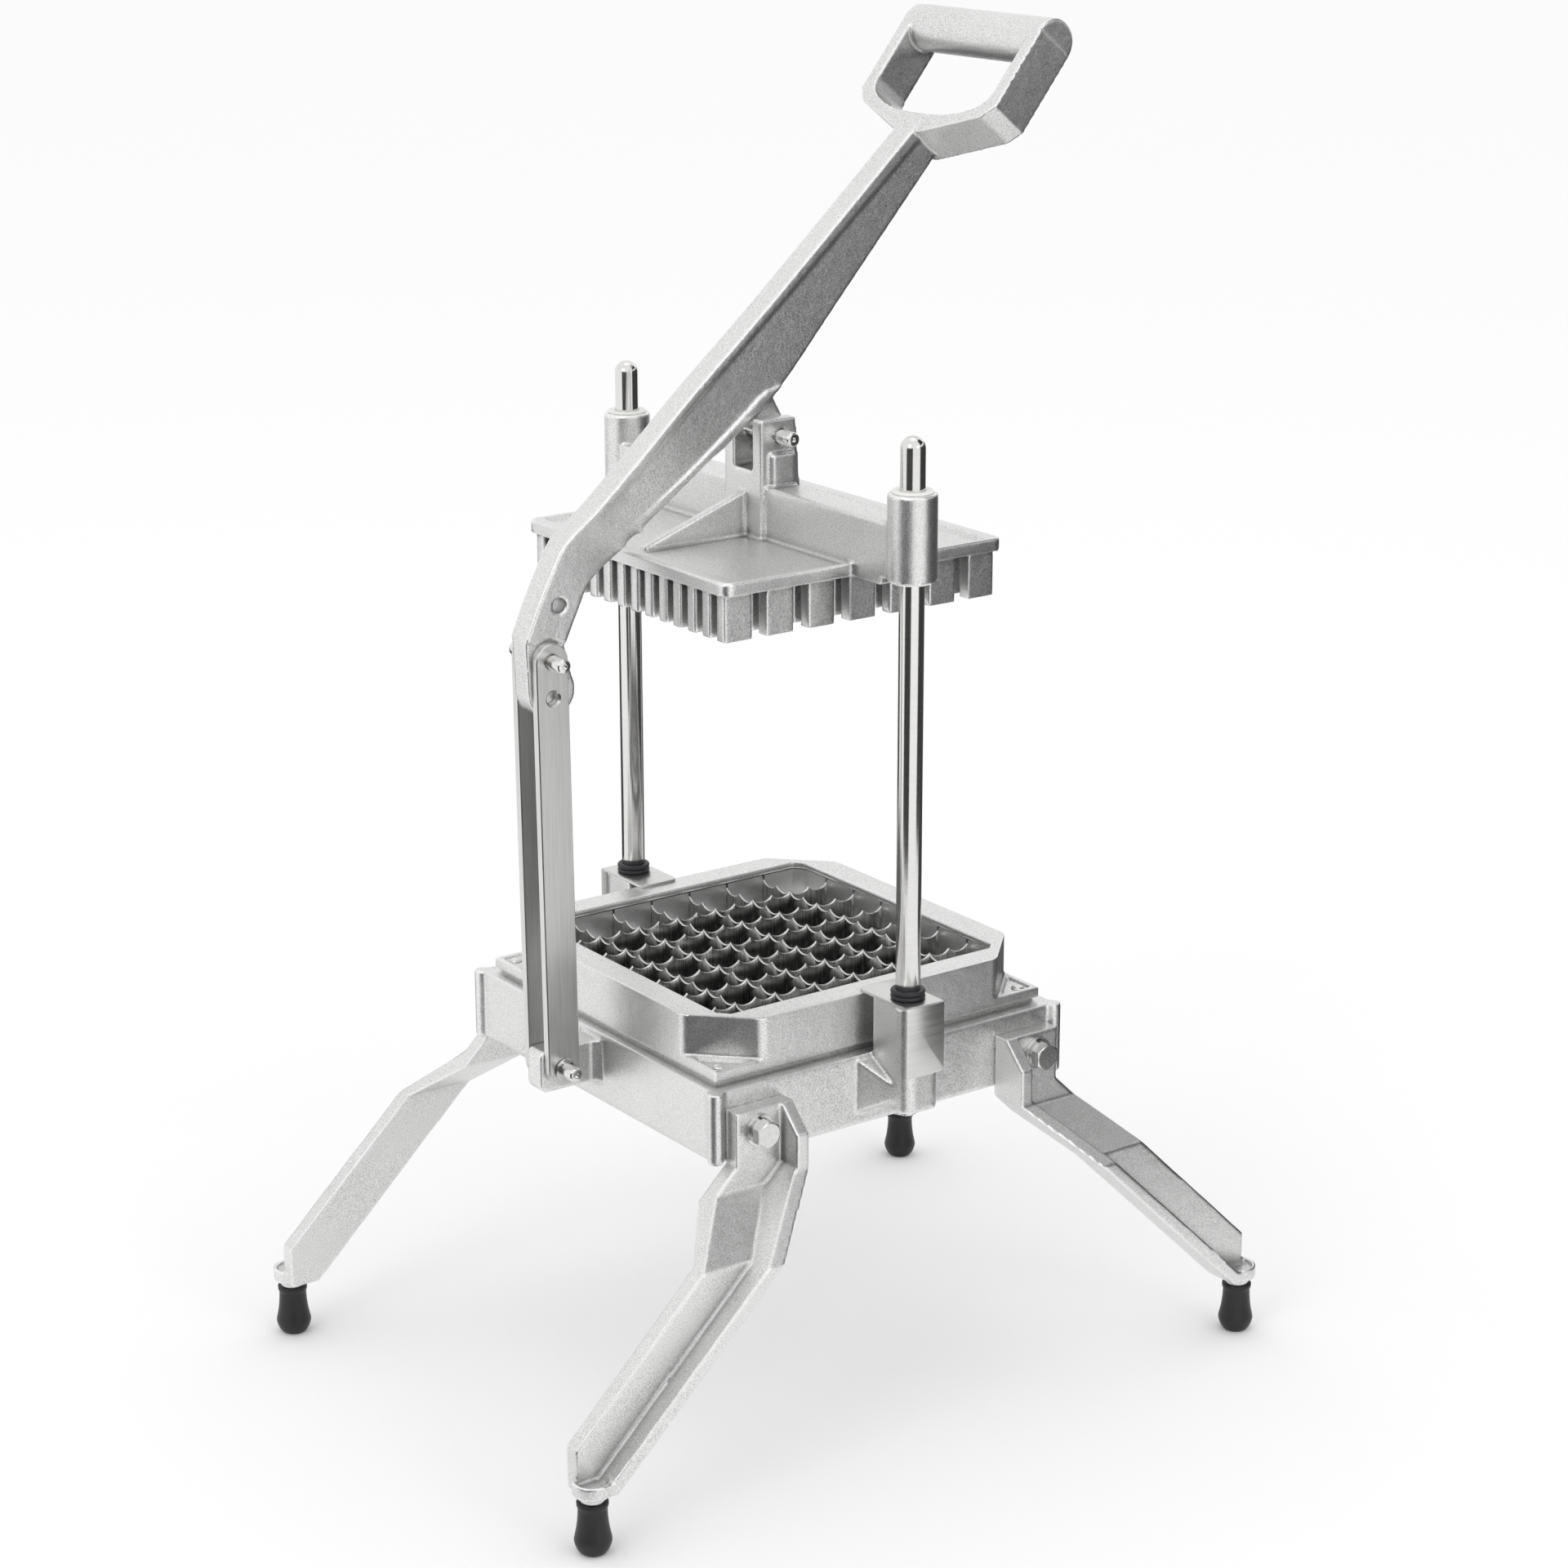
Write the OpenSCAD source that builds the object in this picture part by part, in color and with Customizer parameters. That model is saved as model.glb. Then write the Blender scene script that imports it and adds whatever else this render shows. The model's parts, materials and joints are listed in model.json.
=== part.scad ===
/* [Cutting grid] */
// Pitch of the square cells, the thickness of one cut stick
cell = 25.4; // [23:0.1:28]
// Cells along each side of the grid
cells = 7; // [6:1:8]
// Thickness of a blade
blade_t = 1.2; // [0.8:0.1:2]
// Height of a blade up to the peaks of its edge
blade_h = 20; // [16:0.5:21]
// Scallops of the edge in one cell
scallops = 2; // [1:1:3]
// Depth of one scallop
scallop_depth = 2.9; // [1.5:0.1:3.6]
// Depth of a blade end's seat in the holder
blade_seat = 3; // [2:0.5:4]

/* [Blade frame] */
// Width of the flat rim around the opening
rim_w = 16; // [15:0.5:20]
// Height of the frame
frame_h = 28; // [26:0.5:34]
// Thickness of the lip over the blade holder
lip_t = 4; // [3:0.5:5]
// Cut of the opening's corners
opening_cut = 5; // [4:0.5:7]
// Cut of the frame's outer corners
frame_cut = 29; // [26:0.5:30]
// Thinnest wall of the frame at its cut corners
frame_corner_wall = 2.6; // [2:0.1:3]
// Thickness of the flange
flange_t = 6; // [5:0.5:8]
// Depth of the triangular pads on the flange's corners
pad_depth = 1.5; // [0.5:0.5:3]
// Width of the edge left around a corner pad
pad_edge = 3; // [2:0.5:4]
// Width of the holder that carries the blades
holder_w = 5.5; // [5:0.5:7]
// Floor under the blade ends
holder_floor = 2; // [1:0.5:3]

/* [Base] */
// Height of the base frame
base_h = 38; // [34:1:46]
// Step from the blade frame out to the base wall, lever way
base_out_x = 5.6; // [4:0.2:9]
// Step from the blade frame out to the base wall, rod way
base_out_y = 7.6; // [5:0.2:10]
// Thickness of the base walls
base_wall = 8; // [6:0.5:10]
// Thickness of the base's top plate
base_top_t = 8; // [6:0.5:12]
// Height of the seat under the blade frame
seat_h = 2; // [1:0.5:4]
// Step from the flange's edge in to the seat
seat_in = 2.5; // [1:0.5:4]
// Step from the blade opening out to the base opening
base_open_step = 2.6; // [1:0.2:4]
// Radius of the beads on the corners
bead_r = 4.2; // [3:0.2:6]

/* [Guide rods] */
// Diameter of a guide rod
rod_d = 12.7; // [10:0.1:16]
// Distance from the base wall to a rod's axis
rod_out = 13.7; // [12.5:0.1:18]
// Height of the rod tops above the clevis pin
rod_above_pin = 18.5; // [12:0.5:40]
// Width of a rod boss
boss_w = 24; // [22:0.5:30]
// Distance from a rod's axis out to the boss face
boss_face = 13.5; // [12:0.5:18]
// Height of the boss underside above the base underside
boss_lift = 11; // [6:0.5:16]
// Radius of the boss edges
boss_r = 7; // [4:0.5:9]
// Reach of the gussets beside a boss
gusset_w = 10; // [6:0.5:14]
// Outer diameter of the bumper ring
bumper_d = 18; // [17:0.5:22]
// Height of the bumper ring
bumper_h = 5; // [3:0.5:8]
// Thickness of the sheet retaining brackets
bracket_t = 1.5; // [1:0.1:2.5]
// Reach of a bracket over the rim
bracket_over = 5; // [2:0.5:10]
// Length of a bracket's fold down the boss
bracket_drop = 38; // [25:1:45]

/* [Push head] */
// Height of the plate above the upper link pin at rest
head_lift = 48; // [40:0.5:54]
// Half width of the plate, lever way
plate_half_x = 87; // [85:0.5:90]
// Half width of the plate, rod way
plate_half_y = 90.5; // [88:0.5:94]
// Thickness of the plate
plate_t = 7; // [5:0.5:9]
// Depth of the pan in the plate's top
pan_depth = 2; // [1:0.5:3]
// Edge of the pan, lever way
pan_edge_x = 8; // [6:0.5:12]
// Edge of the pan, rod way
pan_edge_y = 3; // [2:0.5:5]
// Radius of the plate's corners
plate_r = 5; // [3:0.5:8]
// Length of the fingers
finger_l = 24; // [18:0.5:30]
// Slots between fingers over the blades, lever way
slot_x = 8.7; // [6:0.1:10]
// Slots between fingers, rod way
slot_y = 5.6; // [4:0.1:7]
// Width of the cross beam
beam_w = 19; // [15:0.5:24]
// Height of the cross beam above the plate
beam_h = 25; // [18:0.5:32]
// Outer diameter of the rod collars
collar_d = 25; // [23:0.5:30]
// Height of the rod collars
collar_h = 44; // [36:1:56]
// Step from the plate's underside up to the collars' underside
collar_step = 4; // [1:0.5:8]
// Outer diameter of the plastic bushings
bush_d = 18.4; // [17:0.2:20]
// Length of a bushing
bush_l = 14; // [10:0.5:18]
// Diameter of a bushing's collar
bush_flange_d = 20.8; // [20.6:0.2:22.6]
// Thickness of a bushing's collar
bush_flange_t = 1.2; // [0.8:0.1:2]

/* [Clevis] */
// Height of the clevis pin above the plate
pin_above_plate = 50.5; // [46:0.5:60]
// Diameter of all three pins
pin_d = 8; // [6:0.5:9]
// Gap between the clevis posts
clevis_gap = 16.4; // [16.2:0.1:20]
// Thickness of a clevis post
post_t = 8; // [6:0.5:10]
// Reach of the posts toward the link
post_in = 12.6; // [11:0.2:16]
// Reach of the posts toward the handle, at the top
post_out = 9.6; // [8:0.2:12]
// Extra reach of the posts toward the handle, at the beam
post_spread = 2.6; // [0:0.2:6]
// Height of the posts above the pin
post_above_pin = 9.5; // [8:0.5:12]
// Depth of the web between the posts below the pin
web_below_pin = 17.5; // [17:0.5:24]
// Thickness of the raised ribs on the posts
post_rib_t = 2.5; // [1:0.5:4]
// Thickness of the gusset ribs on the plate
rib_t = 5; // [3:0.5:8]
// Length of the gusset ribs from the posts
rib_l = 62; // [50:1:70]
// Free end of a pin beyond what it carries
pin_free = 11.5; // [8:0.5:14]

/* [Link] */
// Length of the link between its pins
link_l = 218; // [190:0.5:250]
// Lean of the resting link away from the base
link_lean = 2.5; // [0:0.5:5]
// Width of a link bar
link_w = 18.6; // [16:0.2:22]
// Thickness of a link bar
link_t = 5; // [4:0.5:6]
// Gap between the two link bars
link_gap = 14; // [13.8:0.1:15]
// Distance from the upper pin to the spare hole
spare_hole_step = 19; // [16:0.5:24]
// Diameter of the spare hole
spare_hole_d = 7; // [5:0.5:8]
// Distance from the base wall to the lower pin
lug_reach = 24.5; // [20:0.5:32]
// Height of the lower pin above the base underside
lug_pin_z = 25; // [20:0.5:28]
// Thickness of the link lug
lug_t = 13; // [11:0.5:13.4]
// Height of the link lug
lug_h = 23; // [20:0.5:26]
// Reach of the lug beyond its pin
lug_end = 11.2; // [9:0.2:14]

/* [Lever] */
// Run of the arm from the upper link pin to the neck
lever_run = 241.8; // [220:1:260]
// Rise of the arm from the upper link pin to the neck
lever_rise = 245; // [225:1:265]
// Thickness of the arm
lever_t = 15.4; // [14.2:0.1:15.8]
// Thickness of the tail between the link bars
tail_t = 13.4; // [12:0.1:13.6]
// Radius of the tail's round end
tail_r = 13.6; // [12:0.2:16]
// Drop of the tail's round end below the upper pin
tail_drop = 17; // [12:0.5:22]
// Shift of the tail's round end toward the base
tail_shift = 2.9; // [0:0.1:4]
// Depth of the recess in the arm's sides
side_recess = 0.8; // [0.4:0.1:1.5]
// Width of the raised edge around the side recess
side_edge = 5; // [4:0.5:7]
// Diameter of the hole through the arm
lever_hole_d = 7.5; // [5:0.5:9]
// Radius of the underside lug round the clevis pin
lug_eye_r = 11; // [10:0.5:12]

/* [Handle] */
// Tilt of the handle from level
handle_tilt = 51.5; // [44:0.5:60]
// Width of the handle over its arms
handle_w = 112; // [95:1:130]
// Thickness of the handle's arms
handle_arm_t = 7.8; // [6:0.2:12]
// Length of the handle from its bend to the grip
handle_l = 48; // [42:1:60]
// Diameter of the grip, and depth of the arms
grip_d = 24.8; // [20:0.2:30]
// Length of the web where the arms meet the neck
web_l = 22; // [18:0.5:28]
// Drop of the finger opening below the bend
opening_drop = 9; // [6:0.5:11]
// Height of the curved part of the finger opening
opening_curve = 18; // [12:0.5:26]

/* [Legs] */
// Step from the base's corner in to a leg
leg_inset = 6.5; // [5:0.5:12]
// Width of a leg's bolt pad
leg_w = 35; // [31:0.5:42]
// Height of a bolt pad above the base underside
leg_pad_h = 28.6; // [25:0.2:33]
// Thickness of a leg's web
leg_web_t = 9.5; // [7:0.5:12]
// Reach of the leg's edge flange beyond the web
leg_flange_out = 13.6; // [8:0.2:18]
// Thickness of the edge flange
leg_flange_t = 7.5; // [6:0.5:10]
// Height of the base underside above the foot pads
leg_drop = 133.5; // [110:0.5:160]
// Reach of a foot from the base wall, lever way
foot_out_x = 101.9; // [80:0.5:120]
// Reach of a foot from the base wall, rod way
foot_out_y = 40; // [34:0.5:50]
// Distance from a foot's axis inward to the outer face of the leg's web, at the pad
foot_web_gap = 3; // [0:0.5:6]
// Distance from a foot's axis inward to the outer face of the web where it bends
bend_gap = 4; // [2:0.5:8]
// Reach of the web beyond the foot's axis
leg_end = 6.6; // [5:0.2:10]
// Height of the web's end above the foot pad
leg_end_h = 22.5; // [16:0.5:30]
// Height of the foot pad
foot_pad_h = 7.5; // [6.5:0.5:12]
// Radius of the foot pad
foot_pad_r = 10; // [9:0.5:13]
// Width of the lip round the recess in the pad
pad_lip = 2; // [1.5:0.1:3]
// Depth of the recess in the pad
pad_recess = 2.5; // [1:0.1:4]

/* [Feet] */
// Height of a rubber foot
foot_h = 28; // [22:0.5:36]
// Radius of a foot at its collar
foot_top_r = 8; // [7.5:0.1:10]
// Radius of a foot at its neck
foot_neck_r = 7.4; // [7:0.1:9]
// Radius of a foot at its flare
foot_flare_r = 9.5; // [8:0.1:12]
// Diameter of the steel ring above a foot
stud_ring_d = 13; // [11:0.5:14]
// Height of the steel ring above a foot
stud_ring_h = 3.5; // [2:0.5:6]

/* [Fasteners] */
// Shank diameter of the leg bolts and foot studs
bolt_d = 8; // [6:0.5:9]
// Width across the flats of the leg bolts
bolt_flats = 13; // [11.5:0.5:15]
// Height of a bolt head
bolt_head_h = 5.5; // [4:0.5:7]
// Thickness of a flat washer
washer_t = 1.6; // [1:0.1:2]
// Diameter of a flat washer
washer_d = 17; // [14:0.5:18]
// Thickness of a spring washer
spring_washer_t = 2; // [1.5:0.1:2.5]
// Diameter of a spring washer
spring_washer_d = 13.6; // [12:0.2:14]
// Height of a leg bolt's nut
nut_h = 6.5; // [5:0.5:8]
// Shank diameter of the screws under the rods
screw_d = 6; // [4:0.5:7]
// Head diameter of the screws under the rods
screw_head_d = 10; // [8:0.5:12]
// Diameter of a retaining clip
clip_d = 12; // [10:0.5:14]
// Thickness of a retaining clip
clip_t = 1; // [0.8:0.1:1.5]
// Depth of the groove in a pin
groove_depth = 0.8; // [0.4:0.1:1.2]

/* [Hidden] */
$fn = 48;

// Overrun of every cut
over = 1;
// Clearance of a pin or bolt in its hole, on the radius
hole_clear = 0.05;
// Clearance between seated pieces
seat_clear = 0.1;
// Share of the pad's floor that a foot's stud goes into
stud_share = 0.8;
// Clearance round the clevis pin in the open lug
pin_room = 0.45;
// Room between the link bars' ends and the arm's shoulders
sweep_room = 1.2;
// Gap between a pin's groove and the face beside it
clip_gap = 0.3;
// Rise left between the head and the bumpers at full stroke
stop_gap = 0.4;
// Radii and small sizes of the castings
lug_r = 4;
root_flare = 5;
gusset_drop = 2;
opening_r = 4;
rivet_d = 4;
rivet_head_d = 7;
rivet_head_h = 1.6;
rivet_inset = 8;
bracket_r = 3;
post_rib_in = 6.5;
post_rib_out = 8;
post_rib_below = 8.5;
hole_chamfer = 1;
lug_drop = 1.7;
screw_head_h = 5;
screw_l = 16;
bore_floor = 6;
bolt_tip = 2;
groove_w = 1.3;
pin_chamfer = 0.8;
foot_flare_z = 7;
foot_neck_z = 17;
foot_collar_h = 3;
foot_base_r = 6.5;
arm_step = 0.3;
end_step = 0.1;
stud_depth = 14;

// Levels, from the floor up
pad_z = foot_h + stud_ring_h;
stud_seat = (foot_pad_h - pad_recess) * stud_share;
base_z = pad_z + leg_drop;
base_top_z = base_z + base_h;
frame_z = base_top_z + seat_h;
rim_z = frame_z + frame_h;
blade_z = frame_z + holder_floor;
peak_z = blade_z + blade_h;
plate_top_z = base_z + lug_pin_z + sqrt(pow(link_l, 2) - pow(link_lean, 2)) + head_lift;
plate_z = plate_top_z - plate_t;
finger_z = plate_z - finger_l;
pin_z = plate_top_z + pin_above_plate;
beam_top_z = plate_top_z + beam_h;
collar_z = plate_z + collar_step;
collar_top_z = collar_z + collar_h;
rod_top_z = pin_z + rod_above_pin;
bracket_z = rim_z;
bumper_z = rim_z + bracket_t;
bumper_top_z = bumper_z + bumper_h;
boss_z = base_z + boss_lift;
lug_z = base_z + lug_pin_z - lug_drop - lug_h / 2;
stroke = collar_z - bush_flange_t - bumper_top_z - stop_gap;

// Half widths, from the opening out
opening_half = cell * cells / 2;
frame_half = opening_half + rim_w;
holder_half = opening_half + holder_w;
seat_half = frame_half - seat_in;
base_open_half = opening_half + base_open_step;
base_half_x = frame_half + base_out_x;
base_half_y = frame_half + base_out_y;
rod_y = base_half_y + rod_out;
boss_half_y = rod_y + boss_face;
opening_line = 2 * opening_half - opening_cut;
frame_line = 2 * frame_half - frame_cut;
holder_line = frame_line - sqrt(2) * (frame_corner_wall + seat_clear);
scallop_w = cell / scallops;
scallop_r = (pow(scallop_w / 2, 2) + pow(scallop_depth, 2)) / (2 * scallop_depth);

// Pivots of the linkage in the lever plane, as [x, z]
pin_low = [-base_half_x - lug_reach, base_z + lug_pin_z];
pin_up = pin_low + [-link_lean, sqrt(pow(link_l, 2) - pow(link_lean, 2))];
pin_head = [0, pin_z];
crank_l = norm(pin_head - pin_up);
head_end = pin_head - [0, stroke];
reach_end = norm(head_end - pin_low);
angle_end = atan2(head_end[1] - pin_low[1], head_end[0] - pin_low[0])
    + acos((pow(link_l, 2) + pow(reach_end, 2) - pow(crank_l, 2)) / (2 * link_l * reach_end));
angle_rest = atan2(pin_up[1] - pin_low[1], pin_up[0] - pin_low[0]);
up_end = pin_low + link_l * [cos(angle_end), sin(angle_end)];
link_turn = angle_rest - angle_end;
crank_turn = atan2(pin_head[1] - pin_up[1], pin_head[0] - pin_up[0])
    - atan2(head_end[1] - up_end[1], head_end[0] - up_end[0]);
lever_turn = crank_turn - link_turn;

// Shares of the arm's run and rise at which its drawing passes the clevis pin
pin_share = [0.5687, 0.4021];
// Outline of the arm, as shares of its run and rise from the upper link pin
top_shares = [[-0.05, 0.045], [-0.026, 0.1], [0.01, 0.172], [0.05, 0.238], [0.122, 0.292],
    [0.23, 0.385], [0.372, 0.512], [0.58, 0.687]];
under_shares = [[0.044, 0.024], [0.075, 0.088], [0.105, 0.145], [0.15, 0.182], [0.245, 0.24],
    [0.396, 0.346], [0.515, 0.433], [0.575, 0.478], [0.63, 0.53], [0.744, 0.657], [1.03, 0.972]];
lever_hole_shares = [0.032, 0.11];
// Bend where the arm turns into the handle, on its upper face
bend_shares = [1, 1.067];
bend = pin_up + [lever_run * bend_shares[0], lever_rise * bend_shares[1]];
along = [cos(handle_tilt), sin(handle_tilt)];
down = [sin(handle_tilt), -cos(handle_tilt)];
grip = bend + along * handle_l + down * grip_d / 2;
// Places of the underside lug on the arm's lower edge
lug_root_shares = [[0.5, 0.47], [0.563, 0.508]];
// Steps of the curves between the points of an outline
curve_steps = 3;
opening_steps = 7;
// Squareness of the finger opening's curve
opening_power = 2.2;
// Stops of the clevis pin along its slot, steps of its round seat, and stops of the link bars' sweep
slot_stops = 20;
slot_steps = 10;
dome_step = 10;
bead_steps = 6;
sweep_stops = 6;

cast = [0.78, 0.79, 0.8];
steel = [0.7, 0.71, 0.73];
zinc = [0.62, 0.64, 0.66];
blade_steel = [0.36, 0.37, 0.39];
black = [0.08, 0.08, 0.09];
white = [0.93, 0.93, 0.9];

function turned(v, a) = [v[0] * cos(a) + v[1] * sin(a), v[1] * cos(a) - v[0] * sin(a)];

// Place of the clevis pin in the resting lever, for a share t of the stroke
function pin_in_lever(t) = pin_up + turned(
    pin_head - [0, stroke * t] - pin_low - turned(pin_up - pin_low, link_turn * t),
    -crank_turn * t);

function curve_at(a, b, c, d, t) = (2 * b + (c - a) * t + (2 * a - 5 * b + 4 * c - d) * t * t
    + (3 * b - a - 3 * c + d) * t * t * t) / 2;

function curve(p) = [
    for (i = [0 : len(p) - 2], k = [0 : curve_steps - 1])
        curve_at(p[max(i - 1, 0)], p[i], p[i + 1], p[min(i + 2, len(p) - 1)], k / curve_steps),
    p[len(p) - 1]
];

function reversed(p) = [for (i = [len(p) - 1 : -1 : 0]) p[i]];

// Way from the upper link pin for one share of the run or rise: up to the clevis pin, then on to the neck
function arm_way(s, at_pin, to_pin, whole) = s < at_pin ? to_pin * s / at_pin
    : to_pin + (whole - to_pin) * (s - at_pin) / (1 - at_pin);

function on_arm(shares) = [for (s = shares) pin_up + [
    arm_way(s[0], pin_share[0], pin_head[0] - pin_up[0], lever_run),
    arm_way(s[1], pin_share[1], pin_head[1] - pin_up[1], lever_rise)]];

function arm_outline() = concat(
    curve(concat(on_arm(top_shares), [bend - along * opening_drop])), reversed(curve(on_arm(under_shares))));

// A square with cut corners; line is the sum of x and y along a corner cut
module cut_square(half, line) {
    s = line - half;
    polygon([[half, s], [s, half], [-s, half], [-half, s],
        [-half, -s], [-s, -half], [s, -half], [half, -s]]);
}

module round_rect(half_x, half_y, r) {
    square([2 * (half_x - r), 2 * half_y], center = true);
    square([2 * half_x, 2 * (half_y - r)], center = true);
    for (x = [-1, 1], y = [-1, 1])
        translate([x * (half_x - r), y * (half_y - r)]) circle(r);
}

module box(from, to) translate(from) cube(to - from);

// Lays a drawing of x and z into the lever plane, t thick and centred on y = at
module in_plane(t, at = 0) translate([0, at + t / 2, 0]) rotate([90, 0, 0]) linear_extrude(t) children();

// A cylinder along y, centred on y = at
module cross_cylinder(d, l, p, at = 0)
    translate([p[0], at + l / 2, p[1]]) rotate([90, 0, 0]) cylinder(d = d, h = l);

module both_ends() {
    children();
    mirror([0, 1, 0]) children();
}

module four_corners() {
    both_ends() {
        children();
        mirror([1, 0, 0]) children();
    }
}

// Base

// Edges of a leg, from the base's corner in
leg_in_x = base_half_x - leg_inset - leg_w;
leg_out_x = base_half_x - leg_inset;
bolt_x = (leg_in_x + leg_flange_t + leg_out_x) / 2;
bolt_z = base_z + leg_pad_h * 0.6;
bolt_seat_y = base_half_y + leg_web_t;

module lug_outline() {
    from = [pin_low[0] - lug_end, lug_z];
    translate(from + [lug_r, 0]) square([lug_end + lug_reach - lug_r + over, lug_h]);
    translate(from + [0, lug_r]) square([lug_end + lug_reach + over, lug_h - 2 * lug_r]);
    for (z = [lug_r, lug_h - lug_r]) translate(from + [lug_r, z]) circle(lug_r);
}

module rod_boss() {
    translate([0, base_half_y + (boss_half_y - base_half_y) / 2, boss_z])
        linear_extrude(rim_z - boss_z)
            round_rect(boss_w / 2, (boss_half_y - base_half_y) / 2, boss_r);
    box([-boss_w / 2, base_half_y - over, boss_z], [boss_w / 2, rod_y, base_top_z]);
    box([-boss_w / 2, base_half_y, base_top_z - over], [boss_w / 2, rod_y, rim_z]);
}

// The flared gussets that blend a boss into the wall
module boss_gussets() for (x = [0, 1]) mirror([x, 0, 0]) hull() {
    box([0, base_half_y - over, base_z + boss_r], [boss_w / 2 + gusset_w, base_half_y, base_top_z - gusset_drop]);
    box([0, rod_y, boss_z + boss_r], [boss_w / 2, boss_half_y - boss_r, boss_z + 2 * boss_r]);
}

module base_frame() color(cast) difference() {
    union() {
        translate([0, 0, base_z]) linear_extrude(base_h)
            square([2 * base_half_x, 2 * base_half_y], center = true);
        translate([0, 0, base_top_z - over]) linear_extrude(seat_h + over)
            square(2 * seat_half, center = true);
        for (x = [-1, 1], y = [-1, 1])
            translate([x * (base_half_x - bead_r / 4), y * (base_half_y - bead_r / 4), base_z])
                cylinder(r = bead_r, h = base_h);
        both_ends() {
            rod_boss();
            boss_gussets();
        }
        in_plane(lug_t) lug_outline();
        translate([-base_half_x, 0, lug_z]) linear_extrude(lug_h)
            polygon([[-root_flare, -lug_t / 2], [over, -lug_t / 2 - root_flare],
                [over, lug_t / 2 + root_flare], [-root_flare, lug_t / 2]]);
    }
    translate([0, 0, base_z - over]) linear_extrude(base_h - base_top_t + over)
        round_rect(base_half_x - base_wall, base_half_y - base_wall, opening_r);
    translate([0, 0, base_z]) linear_extrude(base_h + seat_h + over)
        round_rect(base_open_half, base_open_half, opening_r);
    both_ends() {
        translate([0, rod_y, boss_z + bore_floor]) cylinder(r = rod_d / 2 + hole_clear, h = rim_z - boss_z);
        translate([0, rod_y, boss_z - over]) cylinder(r = screw_d / 2 + hole_clear, h = bore_floor + 2 * over);
    }
    cross_cylinder(pin_d + 2 * hole_clear, lug_t + 2 * over, pin_low);
    four_corners() cross_cylinder(bolt_d + 2 * hole_clear, base_wall + 2 * over, [bolt_x, bolt_z],
        base_half_y - base_wall / 2);
    for (x = [-1, 1], y = [-1, 1])
        translate([x * (frame_half - rivet_inset), y * (frame_half - rivet_inset), base_top_z - flange_t])
            cylinder(r = rivet_d / 2 + hole_clear, h = flange_t + seat_h + over);
}

// Legs

foot_x = base_half_x + foot_out_x;
foot_y = base_half_y + foot_out_y;
foot_in_x = foot_x - foot_pad_r - seat_clear;
web_low_y = foot_y - foot_web_gap;
bend_y = foot_y - bend_gap;
leg_out_y = max(foot_y + foot_pad_r, bend_y + leg_flange_out) + over;
knee_z = base_z - leg_web_t * 1.3;
ankle_z = base_z - leg_web_t * 4;
in_top = [leg_in_x, base_z - leg_flange_t * 0.66];
in_low = [foot_in_x, pad_z];

// The web seen from the side, in x and z
module leg_side() polygon([
    [leg_in_x, base_z + leg_pad_h], [leg_out_x, base_z + leg_pad_h], [leg_out_x, base_z],
    [foot_x + leg_end, pad_z + leg_end_h], [foot_x + leg_end, pad_z], in_low, in_top
]);

// The flange along the web's inner edge, in x and z
module leg_edge() polygon([
    [leg_in_x, base_z + leg_pad_h], [leg_in_x + leg_flange_t, base_z + leg_pad_h],
    [leg_in_x + leg_flange_t, in_top[1] + leg_flange_t * 0.3], in_low + [leg_flange_t * 1.4, 0], in_low, in_top
]);

// The web seen along the lever way, in y and z
module web_end() polygon([
    [base_half_y, base_z + leg_pad_h], [base_half_y + leg_web_t, base_z + leg_pad_h],
    [base_half_y + leg_web_t, knee_z], [bend_y, ankle_z], [web_low_y, pad_z],
    [web_low_y - leg_web_t, pad_z], [bend_y - leg_web_t, ankle_z], [base_half_y, knee_z - leg_web_t / 2]
]);

// The flange seen along the lever way, in y and z
module edge_end() polygon([
    [base_half_y, base_z + leg_pad_h], [base_half_y + leg_web_t, base_z + leg_pad_h],
    [base_half_y + leg_web_t + leg_flange_out, base_z + leg_pad_h - leg_flange_out],
    [base_half_y + leg_web_t + leg_flange_out, in_top[1]],
    [bend_y + leg_flange_out, ankle_z], [foot_y + foot_pad_r - pad_lip / 2, pad_z],
    [web_low_y - leg_web_t, pad_z], [bend_y - leg_web_t, ankle_z], [base_half_y, knee_z - leg_web_t / 2]
]);

// Lays a drawing of y and z across the legs, from x = a to x = b
module across(a, b) translate([a, 0, 0]) rotate([90, 0, 90]) linear_extrude(b - a) children();

// The pad over a foot, from the level z up, its edge drawn in by a lip
module foot_pad(z, h, lip) {
    translate([foot_x, foot_y, z]) cylinder(r = foot_pad_r - lip, h = h);
    box([foot_in_x + lip, web_low_y - leg_web_t / 2, z], [foot_x + leg_end - lip, foot_y, z + h]);
}

module leg() color(cast) difference() {
    union() {
        intersection() {
            translate([0, leg_out_y, 0]) rotate([90, 0, 0]) linear_extrude(leg_out_y - base_half_y + over) leg_side();
            across(leg_in_x - over, foot_x + leg_end + over) web_end();
        }
        intersection() {
            translate([0, leg_out_y, 0]) rotate([90, 0, 0]) linear_extrude(leg_out_y - base_half_y + over) leg_edge();
            across(leg_in_x - over, foot_x + leg_end + over) edge_end();
        }
        difference() {
            foot_pad(pad_z, foot_pad_h, 0);
            foot_pad(pad_z + foot_pad_h - pad_recess, pad_recess + over, pad_lip);
        }
    }
    cross_cylinder(bolt_d + 2 * hole_clear, leg_web_t + 2 * over, [bolt_x, bolt_z], base_half_y + leg_web_t / 2);
    translate([foot_x, foot_y, pad_z - over]) cylinder(r = bolt_d / 2 + hole_clear, h = stud_seat + over);
}

module leg_link_near() mirror([1, 0, 0]) mirror([0, 1, 0]) leg();
module leg_link_far() mirror([1, 0, 0]) leg();
module leg_grip_near() mirror([0, 1, 0]) leg();
module leg_grip_far() leg();

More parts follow.
